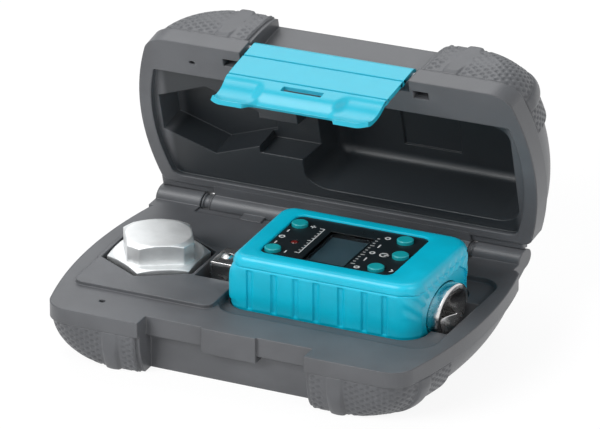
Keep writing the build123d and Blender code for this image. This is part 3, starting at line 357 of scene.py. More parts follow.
def rounded_loop(x_range, y_range, radii, long_steps, short_steps, corner_steps):
    """Points and outward normals round a rectangle with its left and right corners rounded."""
    left, right = radii
    x_low, x_high = x_range
    y_low, y_high = y_range
    loop = []
    sides = (
        ((x_low + left, y_low), (x_high - right, y_low), -pi / 2, long_steps, right),
        ((x_high, y_low + right), (x_high, y_high - right), 0.0, short_steps, right),
        ((x_high - right, y_high), (x_low + left, y_high), pi / 2, long_steps, left),
        ((x_low, y_high - left), (x_low, y_low + left), pi, short_steps, left),
    )
    for start, end, facing, steps, radius in sides:
        normal = (cos(facing), sin(facing))
        for step in range(steps):
            share = step / steps
            point = [a + (b - a) * share for a, b in zip(start, end)]
            loop.append((point[0], point[1], normal[0], normal[1]))
        centre = (end[0] - radius * normal[0], end[1] - radius * normal[1])
        for step in range(corner_steps):
            angle = facing + pi / 2 * step / corner_steps
            out = (cos(angle), sin(angle))
            loop.append((centre[0] + radius * out[0], centre[1] + radius * out[1], out[0], out[1]))
    return loop


def ring_faces(rings, length, closed):
    """Quads between rings of equal length; the last joins the first if closed."""
    faces = []
    last = rings if closed else rings - 1
    for ring in range(last):
        following = (ring + 1) % rings
        for step in range(length):
            beside = (step + 1) % length
            faces.append((
                ring * length + step, ring * length + beside,
                following * length + beside, following * length + step,
            ))
    return faces


def grid_quads(columns, rows):
    """Quads between vertices listed column by column, each after its column and row."""
    for column in range(columns - 1):
        for row in range(rows - 1):
            corner = column * rows + row
            yield column, row, (corner, corner + 1, corner + rows + 1, corner + rows)


class CaseSettings(bpy.types.PropertyGroup):
    """Finish of the two case halves."""

    case_colour: FloatVectorProperty(
        name="Case colour", description="Colour of the moulded case plastic, linear",
        subtype="COLOR", size=3, min=0.0, max=1.0, default=(0.088, 0.091, 0.098))
    # painted shade: the darker colour laid over the lid's hollows in place of their shadow
    hollow_shade_colour: FloatVectorProperty(
        name="Hollow shade colour", description="Colour of the painted shade in the lid's hollows, linear",
        subtype="COLOR", size=3, min=0.0, max=1.0, default=(0.020, 0.024, 0.028))
    case_roughness: FloatProperty(
        name="Case roughness", description="Mean roughness of the case plastic",
        min=0.0, max=1.0, default=0.42)
    case_grain: FloatProperty(
        name="Grain depth", description="Height of the moulded grain",
        subtype="DISTANCE", unit="LENGTH", min=0.0, default=0.00005)
    grip_step: FloatProperty(
        name="Grip step", description="Grid step of the dimpled skins, in millimetres",
        min=0.2, default=0.4)
    case_edge: FloatProperty(
        name="Edge radius", description="Radius that sharp moulded edges are shown with",
        subtype="DISTANCE", unit="LENGTH", min=0.0, default=0.0009)


class AdapterSettings(bpy.types.PropertyGroup):
    """Shape and finish of the adapter."""

    boot_colour: FloatVectorProperty(
        name="Boot colour", description="Colour of the rubber boot, linear",
        subtype="COLOR", size=3, min=0.0, max=1.0, default=(0.0, 0.55, 0.76))
    button_colour: FloatVectorProperty(
        name="Button colour", description="Colour of the push buttons, linear",
        subtype="COLOR", size=3, min=0.0, max=1.0, default=(0.004, 0.36, 0.40))
    groove_depth: FloatProperty(
        name="Groove depth", description="Depth of the upright grip grooves, in millimetres",
        min=0.0, default=0.7)


class LatchSettings(bpy.types.PropertyGroup):
    """Shape and finish of the latch."""

    latch_colour: FloatVectorProperty(
        name="Latch colour", description="Colour of the latch plate, linear",
        subtype="COLOR", size=3, min=0.0, max=1.0, default=(0.014, 0.47, 0.63))
    thickness: FloatProperty(
        name="Thickness", description="Wall of the latch plate, in millimetres", min=0.5, default=2.4)


class StageSettings(bpy.types.PropertyGroup):
    """Floor, lights and camera."""

    azimuth: FloatProperty(
        name="Azimuth", description="Camera's turn to the right of straight ahead",
        subtype="ANGLE", unit="ROTATION", default=radians(24.3))
    elevation: FloatProperty(
        name="Elevation", description="Camera's angle above the floor",
        subtype="ANGLE", unit="ROTATION", default=radians(34.2))
    tilt: FloatProperty(
        name="Tilt", description="Turn of the picture plane's upright axis towards the camera",
        subtype="ANGLE", unit="ROTATION", default=radians(7.93))
    stretch: FloatProperty(
        name="Stretch", description="Width of the picture against its true width",
        min=1.0, default=600 / 429)
    distance: FloatProperty(
        name="Distance", description="From the camera to the point that it looks at",
        subtype="DISTANCE", unit="LENGTH", default=4.263)
    lens: FloatProperty(
        name="Lens", description="Focal length for a sensor 36 mm wide, in millimetres",
        min=10.0, default=532.5)
    aim: FloatVectorProperty(
        name="Aim", description="Point in the middle of the picture",
        subtype="XYZ", unit="LENGTH", size=3, default=(-0.0155, 0.0515, 0.0362))
    world_strength: FloatProperty(
        name="World strength", description="Brightness of the even surroundings",
        min=0.0, default=0.25)
    key_power: FloatProperty(
        name="Key power", description="Power of the softbox in front on the left",
        subtype="POWER", unit="POWER", min=0.0, default=26.0)
    side_power: FloatProperty(
        name="Side power", description="Power of the softbox in front on the right",
        subtype="POWER", unit="POWER", min=0.0, default=7.0)
    top_power: FloatProperty(
        name="Top power", description="Power of the softbox above and behind",
        subtype="POWER", unit="POWER", min=0.0, default=16.0)


class ADAPTER_OT_case(bpy.types.Operator):
    """Gives the case halves, the hinge pins and the latch pin their finishes"""

    bl_idname = "adapter.case"
    bl_label = "Case finishes"

    def execute(self, context):
        settings = context.scene.adapter_case
        dress(case_plastic("case_plastic_finish", settings), "case_base")
        # the lid's finish paints shade into its hollows
        dress(case_plastic("lid_plastic_finish", settings, shade_hollows=True), "case_lid")
        steel = metal("pin_steel_finish", (0.55, 0.56, 0.57), 0.28, 0.00001, 0.2, 0.0003)
        dress(steel, "hinge_pins", "latch_pin")
        return {"FINISHED"}


LID_WEBS = ((-69.5, -48.5), (46.0, 65.2))
CASE_WEBS = ((-53.5, 49.2),)
WEB_ROOT = -11.4
WEB_TOP = 0.75
WEB_BOTTOM = 4.6
WEB_BOTTOM_REACH = -6.6
WEB_HOLLOW_R = 5.45
WEB_HOLLOW_TURNS = [radians(8 + 9 * step) for step in range(5)]
WEB_CHAMFER = 0.4
WEB_END_SCALE = 0.86
COLLARS = ((-52.9, -49.1), (46.6, 48.6))
COLLAR_BORE = 2.1
COLLAR_R = 4.6
COLLAR_WAIST = 0.7
COLLAR_LIP = 0.2
COLLAR_CHAMFER = 0.3
COLLAR_TURNS = 48


class ADAPTER_OT_webs(bpy.types.Operator):
    """Builds the webs from the case's rear edges to the barrels, and the collars on the hinge pins"""

    bl_idname = "adapter.webs"
    bl_label = "Hinge webs and collars"

    def execute(self, context):
        finish = case_plastic("web_plastic_finish", context.scene.adapter_case)
        for body, place, spans in (("lid", from_lid, LID_WEBS), ("case", from_base, CASE_WEBS)):
            for number, (start, end) in enumerate(spans):
                self.build(f"hinge_web_{body}_{number + 1}", body, place, start, end, finish)
        for number, (start, end) in enumerate(COLLARS):
            self.collar(f"hinge_spacer_{number + 1}", start, end, finish)
        return {"FINISHED"}

    def collar(self, name, start, end, finish):
        """Collar on the hinge pin, waisted between its two ends."""
        wide, edge, lip = COLLAR_R, COLLAR_CHAMFER, COLLAR_LIP * (end - start)
        waist = wide - COLLAR_WAIST
        section = [(start, COLLAR_BORE), (start, wide - edge), (start + edge, wide)]
        section += [(start + lip, wide), (start + lip + edge, waist)]
        section += [(end - lip - edge, waist), (end - lip, wide)]
        section += [(end - edge, wide), (end, wide - edge), (end, COLLAR_BORE)]
        turns = [2.0 * pi * step / COLLAR_TURNS for step in range(COLLAR_TURNS)]
        vertices = [from_base(x, r * cos(turn), r * sin(turn)) for turn in turns for x, r in section]
        faces = ring_faces(len(turns), len(section), True)
        piece = make_piece(name, "case", vertices, faces, finish)
        piece.data.set_sharp_from_angle(angle=radians(30))

    def build(self, name, body, place, start, end, finish):
        """One web: a section hollowed round the barrel, with chamfered ends."""
        hollow = [(-WEB_HOLLOW_R * cos(turn), WEB_HOLLOW_R * sin(turn)) for turn in WEB_HOLLOW_TURNS]
        section = [(WEB_ROOT, WEB_TOP), *hollow, (WEB_BOTTOM_REACH, WEB_BOTTOM), (WEB_ROOT, WEB_BOTTOM)]
        count = len(section)
        middle = (sum(y for y, _ in section) / count, sum(h for _, h in section) / count)
        loops = [(start, WEB_END_SCALE), (start + WEB_CHAMFER, 1.0)]
        loops += [(end - WEB_CHAMFER, 1.0), (end, WEB_END_SCALE)]
        vertices = [
            place(x, middle[0] + (y - middle[0]) * scale, middle[1] + (h - middle[1]) * scale)
            for x, scale in loops for y, h in section]
        faces = ring_faces(len(loops), count, False)
        faces += [tuple(reversed(range(count))), tuple(range(3 * count, 4 * count))]
        if body == "lid":
            faces = [tuple(reversed(face)) for face in faces]
        make_piece(name, body, vertices, faces, finish, smooth=False)


# Grip skins: their path round a front corner, and their ribs, seams and pits, in millimetres
FRONT_Y = -104.0
RIM_BAND = 8.6
GRIP_START_X = 32.6
GRIP_CORNER_X = 53.5
GRIP_CORNER_R = 14.0
GRIP_SIDE_TURN = radians(14)
GRIP_SIDE_LENGTH = 20.0
GRIP_FRONT = GRIP_CORNER_X - GRIP_START_X
GRIP_ARC = GRIP_CORNER_R * (pi / 2 - GRIP_SIDE_TURN)
GRIP_BOTTOM = 31.1
GRIP_EDGE = 0.12
GRIP_SUNK = -0.3
GRIP_LIFT = 0.55
RIBS = ((6.6, 12.5), (39.8, 46.4))
RIB_EDGES = [edge for rib in RIBS for edge in rib]
RIB_CROWN = 0.9
RIB_RUN_IN = 5.0
SEAM_DEPTH = 0.45
SEAM_HALF = 0.28
SEAM_FADE = 0.25
PIT_PITCH = 2.0
PIT_DROP = 3.4
PIT_SQUASH = 0.85
PIT_DEPTH = 0.5
PIT_FLOOR = 0.35
PIT_RIM = 0.95
PIT_MARGIN = 1.0
RAY = (20.0, -30.0)


class ADAPTER_OT_grips(bpy.types.Operator):
    """Lays the dimpled skins with their ribs over the front corners of both case halves"""

    bl_idname = "adapter.grips"
    bl_label = "Grip skins"

    def execute(self, context):
        settings = context.scene.adapter_case
        finish = case_plastic("grip_plastic_finish", settings)
        for node, body, place in (("case_base", "case", from_base), ("case_lid", "lid", from_lid)):
            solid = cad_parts[node].data
            corners = [vertex.co for vertex in solid.vertices]
            tree = BVHTree.FromPolygons(corners, [polygon.vertices for polygon in solid.polygons])
            for side, word in ((-1.0, "left"), (1.0, "right")):
                self.lay(f"grip_{body}_{word}", body, place, tree, side, settings, finish)
        return {"FINISHED"}

    def path(self, along):
        """Plan place and outward direction, so far round a front corner from its recess side."""
        if along < GRIP_FRONT:
            return (GRIP_START_X + along, FRONT_Y), (0.0, -1.0)
        turn = -pi / 2 + min(along - GRIP_FRONT, GRIP_ARC) / GRIP_CORNER_R
        out = (cos(turn), sin(turn))
        rest = max(0.0, along - GRIP_FRONT - GRIP_ARC)
        x = GRIP_CORNER_X + GRIP_CORNER_R * out[0] - rest * out[1]
        y = FRONT_Y + GRIP_CORNER_R + GRIP_CORNER_R * out[1] + rest * out[0]
        return (x, y), out

    def relief(self, along, down):
        """How far the skin stands out from the pad: ribs, seams beside them, and round pits."""
        seams = [ridge(along, edge, SEAM_HALF, SEAM_FADE) for edge in RIB_EDGES]
        out = GRIP_LIFT - SEAM_DEPTH * max(seams)
        for low, high in RIBS:
            if low < along < high:
                middle, half = (low + high) / 2, (high - low) / 2
                crown = sqrt(max(0.0, 1.0 - ((along - middle) / half) ** 2))
                return out + RIB_CROWN * crown * smoothstep(0.0, RIB_RUN_IN, down)
        column = round(along / PIT_PITCH)
        shift = PIT_DROP / 2 if column % 2 else 0.0
        row = round((down - shift) / PIT_DROP)
        away = hypot(along - column * PIT_PITCH, (down - shift - row * PIT_DROP) * PIT_SQUASH)
        clear = min(abs(along - edge) for edge in RIB_EDGES)
        if clear < PIT_MARGIN or down < PIT_MARGIN:
            return out
        return out - PIT_DEPTH * (1.0 - smoothstep(PIT_FLOOR, PIT_RIM, away))

    def lay(self, name, body, place, tree, side, settings, finish):
        """One skin: a fine grid dropped onto the wall from outside, then lifted by its relief."""
        length = GRIP_FRONT + GRIP_ARC + GRIP_SIDE_LENGTH
        depth = GRIP_BOTTOM - RIM_BAND
        steps = round(length / settings.grip_step)
        drops = round(depth / settings.grip_step)
        alongs = [GRIP_EDGE + (length - 2 * GRIP_EDGE) * step / steps for step in range(steps + 1)]
        heights = [
            RIM_BAND + GRIP_EDGE + (depth - GRIP_EDGE) * drop / drops for drop in range(drops + 1)]
        vertices = []
        for column, along in enumerate(alongs):
            (x, y), out = self.path(along)
            down = 0.0
            last = None
            for row, h in enumerate(heights):
                start, end = [
                    Vector(place(side * (x + reach * out[0]), y + reach * out[1], h)) * MM
                    for reach in RAY]
                hit, normal, _, _ = tree.ray_cast(start, (end - start).normalized())
                if hit is None:
                    raise RuntimeError(f"{name} found no wall to lie on")
                if last is not None:
                    down += (hit - last).length / MM
                last = hit
                rim = column in (0, len(alongs) - 1) or row in (0, len(heights) - 1)
                lift = GRIP_SUNK if rim else self.relief(along, down)
                vertices.append((hit + normal * lift * MM) / MM)
        vertices = [self.inside_box(vertex) for vertex in vertices]
        faces = [quad for _, _, quad in grid_quads(len(alongs), len(heights))]
        if (side > 0) != (body == "case"):
            faces = [tuple(reversed(quad)) for quad in faces]
        make_piece(name, body, vertices, faces, finish)

    def inside_box(self, vertex):
        """The vertex, no further out than the part's own box."""
        low, high = CAD_BOX
        return [min(max(value, a / MM + 0.01), b / MM - 0.01) for value, a, b in zip(vertex, low, high)]


# Boot, from the drive axis, in millimetres: outlines by their reach in x and y and their corner radii
BOOT = ((-11.9, 58.5), (-24.0, 24.0), (6.0, 8.0))
WINDOW = ((-3.0, 45.6), (-16.3, 17.7), (3.0, 3.0))
DOOR = ((-1.3, 55.0), (-14.1, 14.1), (2.2, 2.2))
BOOT_STEPS = (130, 80, 24)
BOOT_TOP = 25.0
WINDOW_WALL = ((0.0, 22.7), (0.0, 24.4), (0.2, 24.82))
TOP_MARGINS = (0.6, 4.6)
BEAD = ((3.9, 25.0), (3.0, 24.95), (2.2, 24.75), (1.4, 24.3), (0.8, 23.6), (0.4, 22.7), (0.15, 21.6))
WALL_RINGS = ((20.6, 0.4, 9), (16.8, 1.2, 16), (-2.6, 0.4, 6), (-6.0, 2.5, 7))
FOOT_R = 4.0
FOOT_STEPS = 8
LINING = ((4.6, -22.8), (2.2, -20.6), (2.2, 20.6), (4.6, 22.7))

# Relief of the boot's walls
GROOVES = (-3.0, 6.2, 14.2, 21.8, 30.9, 39.5, 46.9)
GROOVED_FROM_Y = 14.0
GROOVE_HALF = 0.95
GROOVE_FADE = 0.28
GROOVE_FOOT = (-4.2, -3.0)
GROOVE_HEAD = (17.6, 18.8)
WAIST = (19.4, 0.35, 0.3)
WAIST_DEPTH = 0.45
FOOT_STEP = (-3.2, -4.4)
FOOT_STEP_DEPTH = 0.3
RIDGES_FROM_X = (52.5, 54.5)
RIDGES_FOOT = (4.0, 8.0)
RIDGES_HEAD = (20.5, 22.5)
RIDGES_HEIGHT = 0.3
RIDGES_LEAN = (0.35, -0.55)
RIDGES_PITCH = 2.6
LEFT_DRAFT = -0.9
LEFT_DRAFT_HEIGHTS = (12.0, 20.0)
LEFT_SWELL = 3.6
SWELL_FOOT = (-1.0, 0.5)
SWELL_HEAD = (16.0, 20.0)

# Openings cut in the boot
COLLAR_OPENING = (13.4, 52.0, 64.0)
SQUARE_OPENING = (10.6, -14.0, -4.0)
OPENING_STEPS = 96
RECESS_HALF = 18.6
RECESS_TOP = 16.5
RECESS_CUT = 6.0
RECESS_X = (57.4, 64.0)
TOOTH_PITCH = 1.3
TOOTH_SHARE = 0.72
TOOTH_DEPTH = 0.55


def boot_relief(x, y, z, depth):
    """How far the boot's wall stands out at a place: grooves, waist band and end ridges."""
    out = 0.0
    if abs(y) > GROOVED_FROM_Y:
        upright = smoothstep(*GROOVE_FOOT, z) * (1.0 - smoothstep(*GROOVE_HEAD, z))
        out -= depth * upright * max(ridge(x, groove, GROOVE_HALF, GROOVE_FADE) for groove in GROOVES)
    out -= WAIST_DEPTH * ridge(z, *WAIST)
    out -= FOOT_STEP_DEPTH * smoothstep(*FOOT_STEP, z)
    ends = smoothstep(*RIDGES_FROM_X, x) * smoothstep(*RIDGES_FOOT, z)
    ends *= 1.0 - smoothstep(*RIDGES_HEAD, z)
    phase = (RIDGES_LEAN[0] * z + RIDGES_LEAN[1] * abs(y)) / RIDGES_PITCH
    return out + RIDGES_HEIGHT * ends * sin(2.0 * pi * phase)


def left_end(place, z):
    """Draft of the left end towards its top, and the fuller left corners above the pocket."""
    x, _, facing_x, facing_y = place
    draft = LEFT_DRAFT * max(0.0, -facing_x) * smoothstep(*LEFT_DRAFT_HEIGHTS, z)
    corner = LEFT_SWELL * (facing_x * facing_y) ** 2 if x < 0.0 else 0.0
    return draft + corner * smoothstep(*SWELL_FOOT, z) * (1.0 - smoothstep(*SWELL_HEAD, z))


class ADAPTER_OT_boot(bpy.types.Operator):
    """Builds the rubber boot with its bead, grip grooves and end ridges"""

    bl_idname = "adapter.boot"
    bl_label = "Boot"

    def execute(self, context):
        settings = context.scene.adapter_tool
        outer, window, door = [rounded_loop(*outline, *BOOT_STEPS) for outline in (BOOT, WINDOW, DOOR)]
        rings = self.top_rings(window, outer)
        for inset, z in self.side_profile():
            ring = []
            for o in outer:
                out = boot_relief(o[0], o[1], z, settings.groove_depth) + left_end(o, z) - inset
                ring.append((o[0] + out * o[2], o[1] + out * o[3], z))
            rings.append(ring)
        rings += [[(d[0], d[1], z) for d in door] for z in (-BOOT_TOP, LINING[0][1])]
        for inset, z in LINING:
            rings.append([(o[0] - inset * o[2], o[1] - inset * o[3], z) for o in outer])
        vertices = [from_tool(*point) for ring in rings for point in ring]
        faces = ring_faces(len(rings), len(outer), True)
        finish = rubber("boot_rubber_finish", settings.boot_colour, 0.36, 0.00002, 0.0003)
        piece = make_piece("boot_skin", "adapter", vertices, faces, finish, ("boot",))
        cutters = [self.end_cutter(*opening) for opening in (COLLAR_OPENING, SQUARE_OPENING)]
        cutters.append(self.recess_cutter())
        for cutter in cutters:
            bore = piece.modifiers.new("opening", "BOOLEAN")
            bore.operation = "DIFFERENCE"
            bore.solver = "EXACT"
            bore.object = cutter
        apply_modifiers(piece)
        for cutter in cutters:
            bpy.data.objects.remove(cutter)
        piece.data.shade_smooth()
        piece.data.set_sharp_from_angle(angle=radians(38))
        return {"FINISHED"}

    def side_profile(self):
        """Inset and height of each ring of the wall, from the bead down round the foot."""
        profile = list(BEAD)
        for top, drop, count in WALL_RINGS:
            profile += [(0.0, top - drop * step) for step in range(count)]
        for step in range(1, FOOT_STEPS + 1):
            turn = pi / 2 * step / FOOT_STEPS
            profile.append((FOOT_R - FOOT_R * cos(turn), FOOT_R - BOOT_TOP - FOOT_R * sin(turn)))
        return profile

    def top_rings(self, window, outer):
        """Rings of the window's wall, its broken edge and the flat top."""
        rings = [[(w[0] + out * w[2], w[1] + out * w[3], z) for w in window] for out, z in WINDOW_WALL]
        inner, outside = TOP_MARGINS
        for share in (0.0, 0.33, 0.66):
            ring = []
            for w, o in zip(window, outer):
                near = (w[0] + inner * w[2], w[1] + inner * w[3])
                far = (o[0] - outside * o[2], o[1] - outside * o[3])
                x, y = (a + (b - a) * share for a, b in zip(near, far))
                ring.append((x, y, BOOT_TOP))
            rings.append(ring)
        return rings

    def end_cutter(self, radius, start, end):
        """Round bar along the drive axis that cuts an opening."""
        turns = [2 * pi * step / OPENING_STEPS for step in range(OPENING_STEPS)]
        vertices = [from_tool(x, radius * cos(t), radius * sin(t)) for x in (start, end) for t in turns]
        return self.prism("cutter_bore", vertices, OPENING_STEPS)

    def recess_cutter(self):
        """Flat recess with cut corners and a finely toothed edge round the drive."""
        half, top, cut = RECESS_HALF, RECESS_TOP, RECESS_CUT
        corners = [(-half, -top), (half, -top), (half, top - cut), (half - cut, top)]
        corners += [(cut - half, top), (-half, top - cut)]
        edge = []
        for first, second in zip(corners, corners[1:] + corners[:1]):
            length = hypot(second[0] - first[0], second[1] - first[1])
            teeth = max(2, int(length / TOOTH_PITCH))
            for tooth in range(teeth):
                for share, reach in ((0.0, 0.0), (TOOTH_SHARE, -TOOTH_DEPTH)):
                    along = (tooth + share) / teeth
                    y = first[0] + (second[0] - first[0]) * along
                    z = first[1] + (second[1] - first[1]) * along
                    scale = 1.0 + reach / hypot(y, z)
                    edge.append((y * scale, z * scale))
        vertices = [from_tool(x, y, z) for x in RECESS_X for y, z in edge]
        return self.prism("cutter_recess", vertices, len(edge))

    def prism(self, name, vertices, count):
        """Closed prism between two like loops, kept only to cut with."""
        faces = [tuple(reversed(range(count))), tuple(range(count, 2 * count))]
        faces += ring_faces(2, count, False)
        return add_mesh(name, vertices, faces)


# Latch plate, drawn on the shut lid: section from its top bend down, in millimetres
LATCH_HALF = 29.5
LATCH_COLUMNS = 150
LATCH_FACE = -103.5
LATCH_BEND = ((-100.6, 10.4), (-101.7, 10.2), (-102.7, 9.5), (-103.3, 8.6))
LATCH_FLATS = ((7.5, 5.5, 3.0, 0.8), (-1.6, -5.0, -9.0, -12.2))
LATCH_GROOVES = (-0.3, -13.5)
LATCH_GROOVE_FLOOR = -102.75
LATCH_GROOVE_HALF = 0.2
LATCH_GROOVE_SLOPE = 0.25
LATCH_LIP = (
    (-103.5, -15.0), (-103.5, -17.0), (-103.45, -19.0), (-103.0, -20.9), (-102.0, -22.6),
    (-100.9, -24.1), (-99.9, -25.6), (-99.3, -27.2),
)
LATCH_LOBE = (
    (-103.4, -15.2), (-102.9, -16.6), (-101.9, -18.2), (-100.9, -20.2), (-100.4, -22.6),
    (-100.5, -25.2), (-101.1, -27.8), (-102.2, -30.2),
)
LOBE_FROM = (13.0, 17.6)
LOBE_ROUND_FROM = 24.5
LOBE_ROUND_TOP = -25.0
LOBE_ROUND_SHARE = 0.42
SIDE_TAPER = 0.6
SIDE_TAPER_HEIGHTS = (-8.0, -29.0)
SLOT_HALF = 7.4
SLOT_HEIGHTS = (-18.6, -16.0)


class ADAPTER_OT_latch(bpy.types.Operator):
    """Builds the latch plate with its finger lobes, grooves and slot"""

    bl_idname = "adapter.latch"
    bl_label = "Latch"

    def execute(self, context):
        settings = context.scene.adapter_latch
        middle, ends = self.section(LATCH_LIP), self.section(LATCH_LOBE)
        vertices, faces = [], []
        for column in range(LATCH_COLUMNS + 1):
            x = LATCH_HALF * (2.0 * column / LATCH_COLUMNS - 1.0)
            share = smoothstep(*LOBE_FROM, abs(x))
            rounding = LOBE_ROUND_SHARE * smoothstep(LOBE_ROUND_FROM, LATCH_HALF, abs(x)) ** 2
            for (y0, h0), (y1, h1) in zip(middle, ends):
                y = y0 + (y1 - y0) * share
                h = h0 + (h1 - h0) * share
                if h < LOBE_ROUND_TOP and share > 0.5:
                    h = LOBE_ROUND_TOP + (h - LOBE_ROUND_TOP) * (1.0 - rounding)
                taper = SIDE_TAPER * smoothstep(*SIDE_TAPER_HEIGHTS, h)
                vertices.append(from_lid(x * (LATCH_HALF - taper) / LATCH_HALF, y, h))
        for column, row, quad in grid_quads(LATCH_COLUMNS + 1, len(middle)):
            x = LATCH_HALF * (2.0 * (column + 0.5) / LATCH_COLUMNS - 1.0)
            h = (middle[row][1] + middle[row + 1][1]) / 2
            if abs(x) >= SLOT_HALF or not SLOT_HEIGHTS[0] < h < SLOT_HEIGHTS[1]:
                faces.append(quad)
        finish = gloss_plastic("latch_plastic_finish", settings.latch_colour, 0.33, 0.0005)
        piece = make_piece("latch_plate", "latch", vertices, faces, finish, ("latch",))
        shell = piece.modifiers.new("wall", "SOLIDIFY")
        shell.thickness = settings.thickness * MM
        shell.offset = -1.0
        shell.use_even_offset = False
        apply_modifiers(piece)
        piece.data.set_sharp_from_angle(angle=radians(50))
        return {"FINISHED"}

    def section(self, lower):
        """The plate's section down to its lower edge, with a point halfway along each step."""
        points = list(LATCH_BEND)
        for flats, groove in zip(LATCH_FLATS, LATCH_GROOVES):
            points += [(LATCH_FACE, h) for h in flats]
            brim = LATCH_GROOVE_HALF + LATCH_GROOVE_SLOPE
            points += [(LATCH_FACE, groove + brim), (LATCH_GROOVE_FLOOR, groove + LATCH_GROOVE_HALF)]
            points += [(LATCH_GROOVE_FLOOR, groove - LATCH_GROOVE_HALF), (LATCH_FACE, groove - brim)]
        points += lower
        fine = []
        for first, second in zip(points, points[1:]):
            fine += [first, tuple((a + b) / 2 for a, b in zip(first, second))]
        return fine + [points[-1]]


class ADAPTER_OT_front(bpy.types.Operator):
    """Finishes the front panel, its window, the display and the lamp"""

    bl_idname = "adapter.front"
    bl_label = "Front panel"

    def execute(self, context):
        dress(film("panel_film_finish"), "front_panel")
        dress(clear_lens("lens_clear_finish"), "display_lens")
        dress(display("lcd_grey_finish"), "lcd_module")
        dress(gloss_plastic("led_red_finish", (0.16, 0.012, 0.01), 0.2, 0.0002, 0.4), "status_led")
        return {"FINISHED"}


# Printed marks, from the drive axis, in millimetres
PANEL_TOP = 24.0
MARK_LINE = 0.5
MARK_THIN_LINE = 0.34
MARK_THICK = 0.05
STROKES = (
    ((4.2, 11.0), (6.2, 11.0)), ((5.2, 10.0), (5.2, 12.0)), ((5.0, -12.5), (5.0, -10.7)),
    ((-1.3, 3.7), (-1.3, 5.7)), ((-1.3, -6.6), (-1.3, -4.6)), ((36.3, -0.5), (38.1, -0.5)),
    ((32.0, 4.2), (32.0, 6.8)), ((32.0, -7.4), (32.0, -4.8)),
    ((43.4, -12.3), (44.4, -11.3)), ((44.4, -11.3), (43.4, -10.3)),
)
CIRCLES = (((-1.3, -0.5), 0.9), ((32.0, 12.6), 0.8), ((32.0, -0.3), 0.8), ((32.0, -13.2), 0.8))
POWER_ARC = ((36.3, -0.5), 1.35, radians(40), radians(320))
ARC_PIECES = 28
SCALE_X = 28.9
SCALE_FROM_Y = -11.0
SCALE_PITCH = 2.0
SCALE_TICKS = 12
SCALE_REACH = (1.5, 0.9)
RULE_X = 9.6
RULE_HALF = 10.6
RULE_TICKS = 11
RULE_REACH = (1.7, 1.0)


class ADAPTER_OT_marks(bpy.types.Operator):
    """Prints the plain marks on the front panel: plus, minus, power sign, dashes and ticks"""

    bl_idname = "adapter.marks"
    bl_label = "Panel marks"

    def execute(self, context):
        self.vertices, self.faces = [], []
        for start, end in STROKES:
            self.stroke(start, end)
        for centre, radius in CIRCLES:
            self.arc(centre, radius)
        self.arc(*POWER_ARC)
        for tick in range(SCALE_TICKS):
            y = SCALE_FROM_Y + SCALE_PITCH * tick
            reach = SCALE_REACH[0] if tick % 4 == 0 else SCALE_REACH[1]
            self.stroke((SCALE_X, y), (SCALE_X + reach, y), MARK_THIN_LINE)
        self.stroke((RULE_X, -RULE_HALF), (RULE_X, RULE_HALF), MARK_THIN_LINE)
        for tick in range(RULE_TICKS):
            y = -RULE_HALF + 2 * RULE_HALF / (RULE_TICKS - 1) * tick
            reach = RULE_REACH[0] if tick % 5 == 0 else RULE_REACH[1]
            self.stroke((RULE_X - reach, y), (RULE_X, y), MARK_THIN_LINE)
        white = rubber("mark_white_finish", (0.72, 0.74, 0.74), 0.5, 0.000004, 0.0)
        make_piece("panel_marks", "adapter", self.vertices, self.faces, white,
                   smooth=False)
        return {"FINISHED"}

    def slab(self, corners):
        """Thin raised patch of ink over a flat outline."""
        count, first = len(corners), len(self.vertices)
        for height in (0.0, MARK_THICK):
            self.vertices += [from_tool(x, y, PANEL_TOP + height) for x, y in corners]
        self.faces.append([first + count + step for step in range(count)])
        self.faces.append([first + step for step in reversed(range(count))])
        self.faces += [[first + corner for corner in face] for face in ring_faces(2, count, False)]

    def stroke(self, start, end, width=MARK_LINE):
        """Straight stroke of ink."""
        start, end = Vector(start), Vector(end)
        along = end - start
        across = Vector((-along.y, along.x)).normalized() * width / 2
        self.slab([start - across, end - across, end + across, start + across])

    def arc(self, centre, radius, first_turn=0.0, last_turn=2.0 * pi):
        """Curved stroke of ink, as short strokes round a centre."""
        for piece in range(ARC_PIECES):
            corners = []
            for reach, ahead in ((-1, 0), (1, 0), (1, 1), (-1, 1)):
                turn = first_turn + (last_turn - first_turn) * (piece + ahead) / ARC_PIECES
                distance = radius + reach * MARK_LINE / 2
                corners.append((centre[0] + distance * cos(turn), centre[1] + distance * sin(turn)))
            self.slab(corners)


class ADAPTER_OT_buttons(bpy.types.Operator):
    """Finishes the five push buttons"""

    bl_idname = "adapter.buttons"
    bl_label = "Buttons"

    def execute(self, context):
        settings = context.scene.adapter_tool
        finish = rubber("button_rubber_finish", settings.button_colour, 0.42, 0.000015, 0.0004)
        names = [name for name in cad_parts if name.startswith("button_")]
        if len(names) != 5:
            raise RuntimeError("the frame doesn't have five push buttons")
        dress(finish, *names)
        return {"FINISHED"}


class ADAPTER_OT_drive(bpy.types.Operator):
    """Finishes the drive shaft, its ball and the loose drive block"""

    bl_idname = "adapter.drive"
    bl_label = "Drive and block"

    def execute(self, context):
        chrome = metal("chrome_steel_finish", (0.80, 0.79, 0.78), 0.18, 0.000004, 0.22, 0.0005)
        dress(chrome, "drive_shaft", "detent_ball", "retaining_ring")
        nickel = metal("block_steel_finish", (0.74, 0.75, 0.75), 0.5, 0.00001, 0.08, 0.0009)
        dress(nickel, "drive_block")
        return {"FINISHED"}


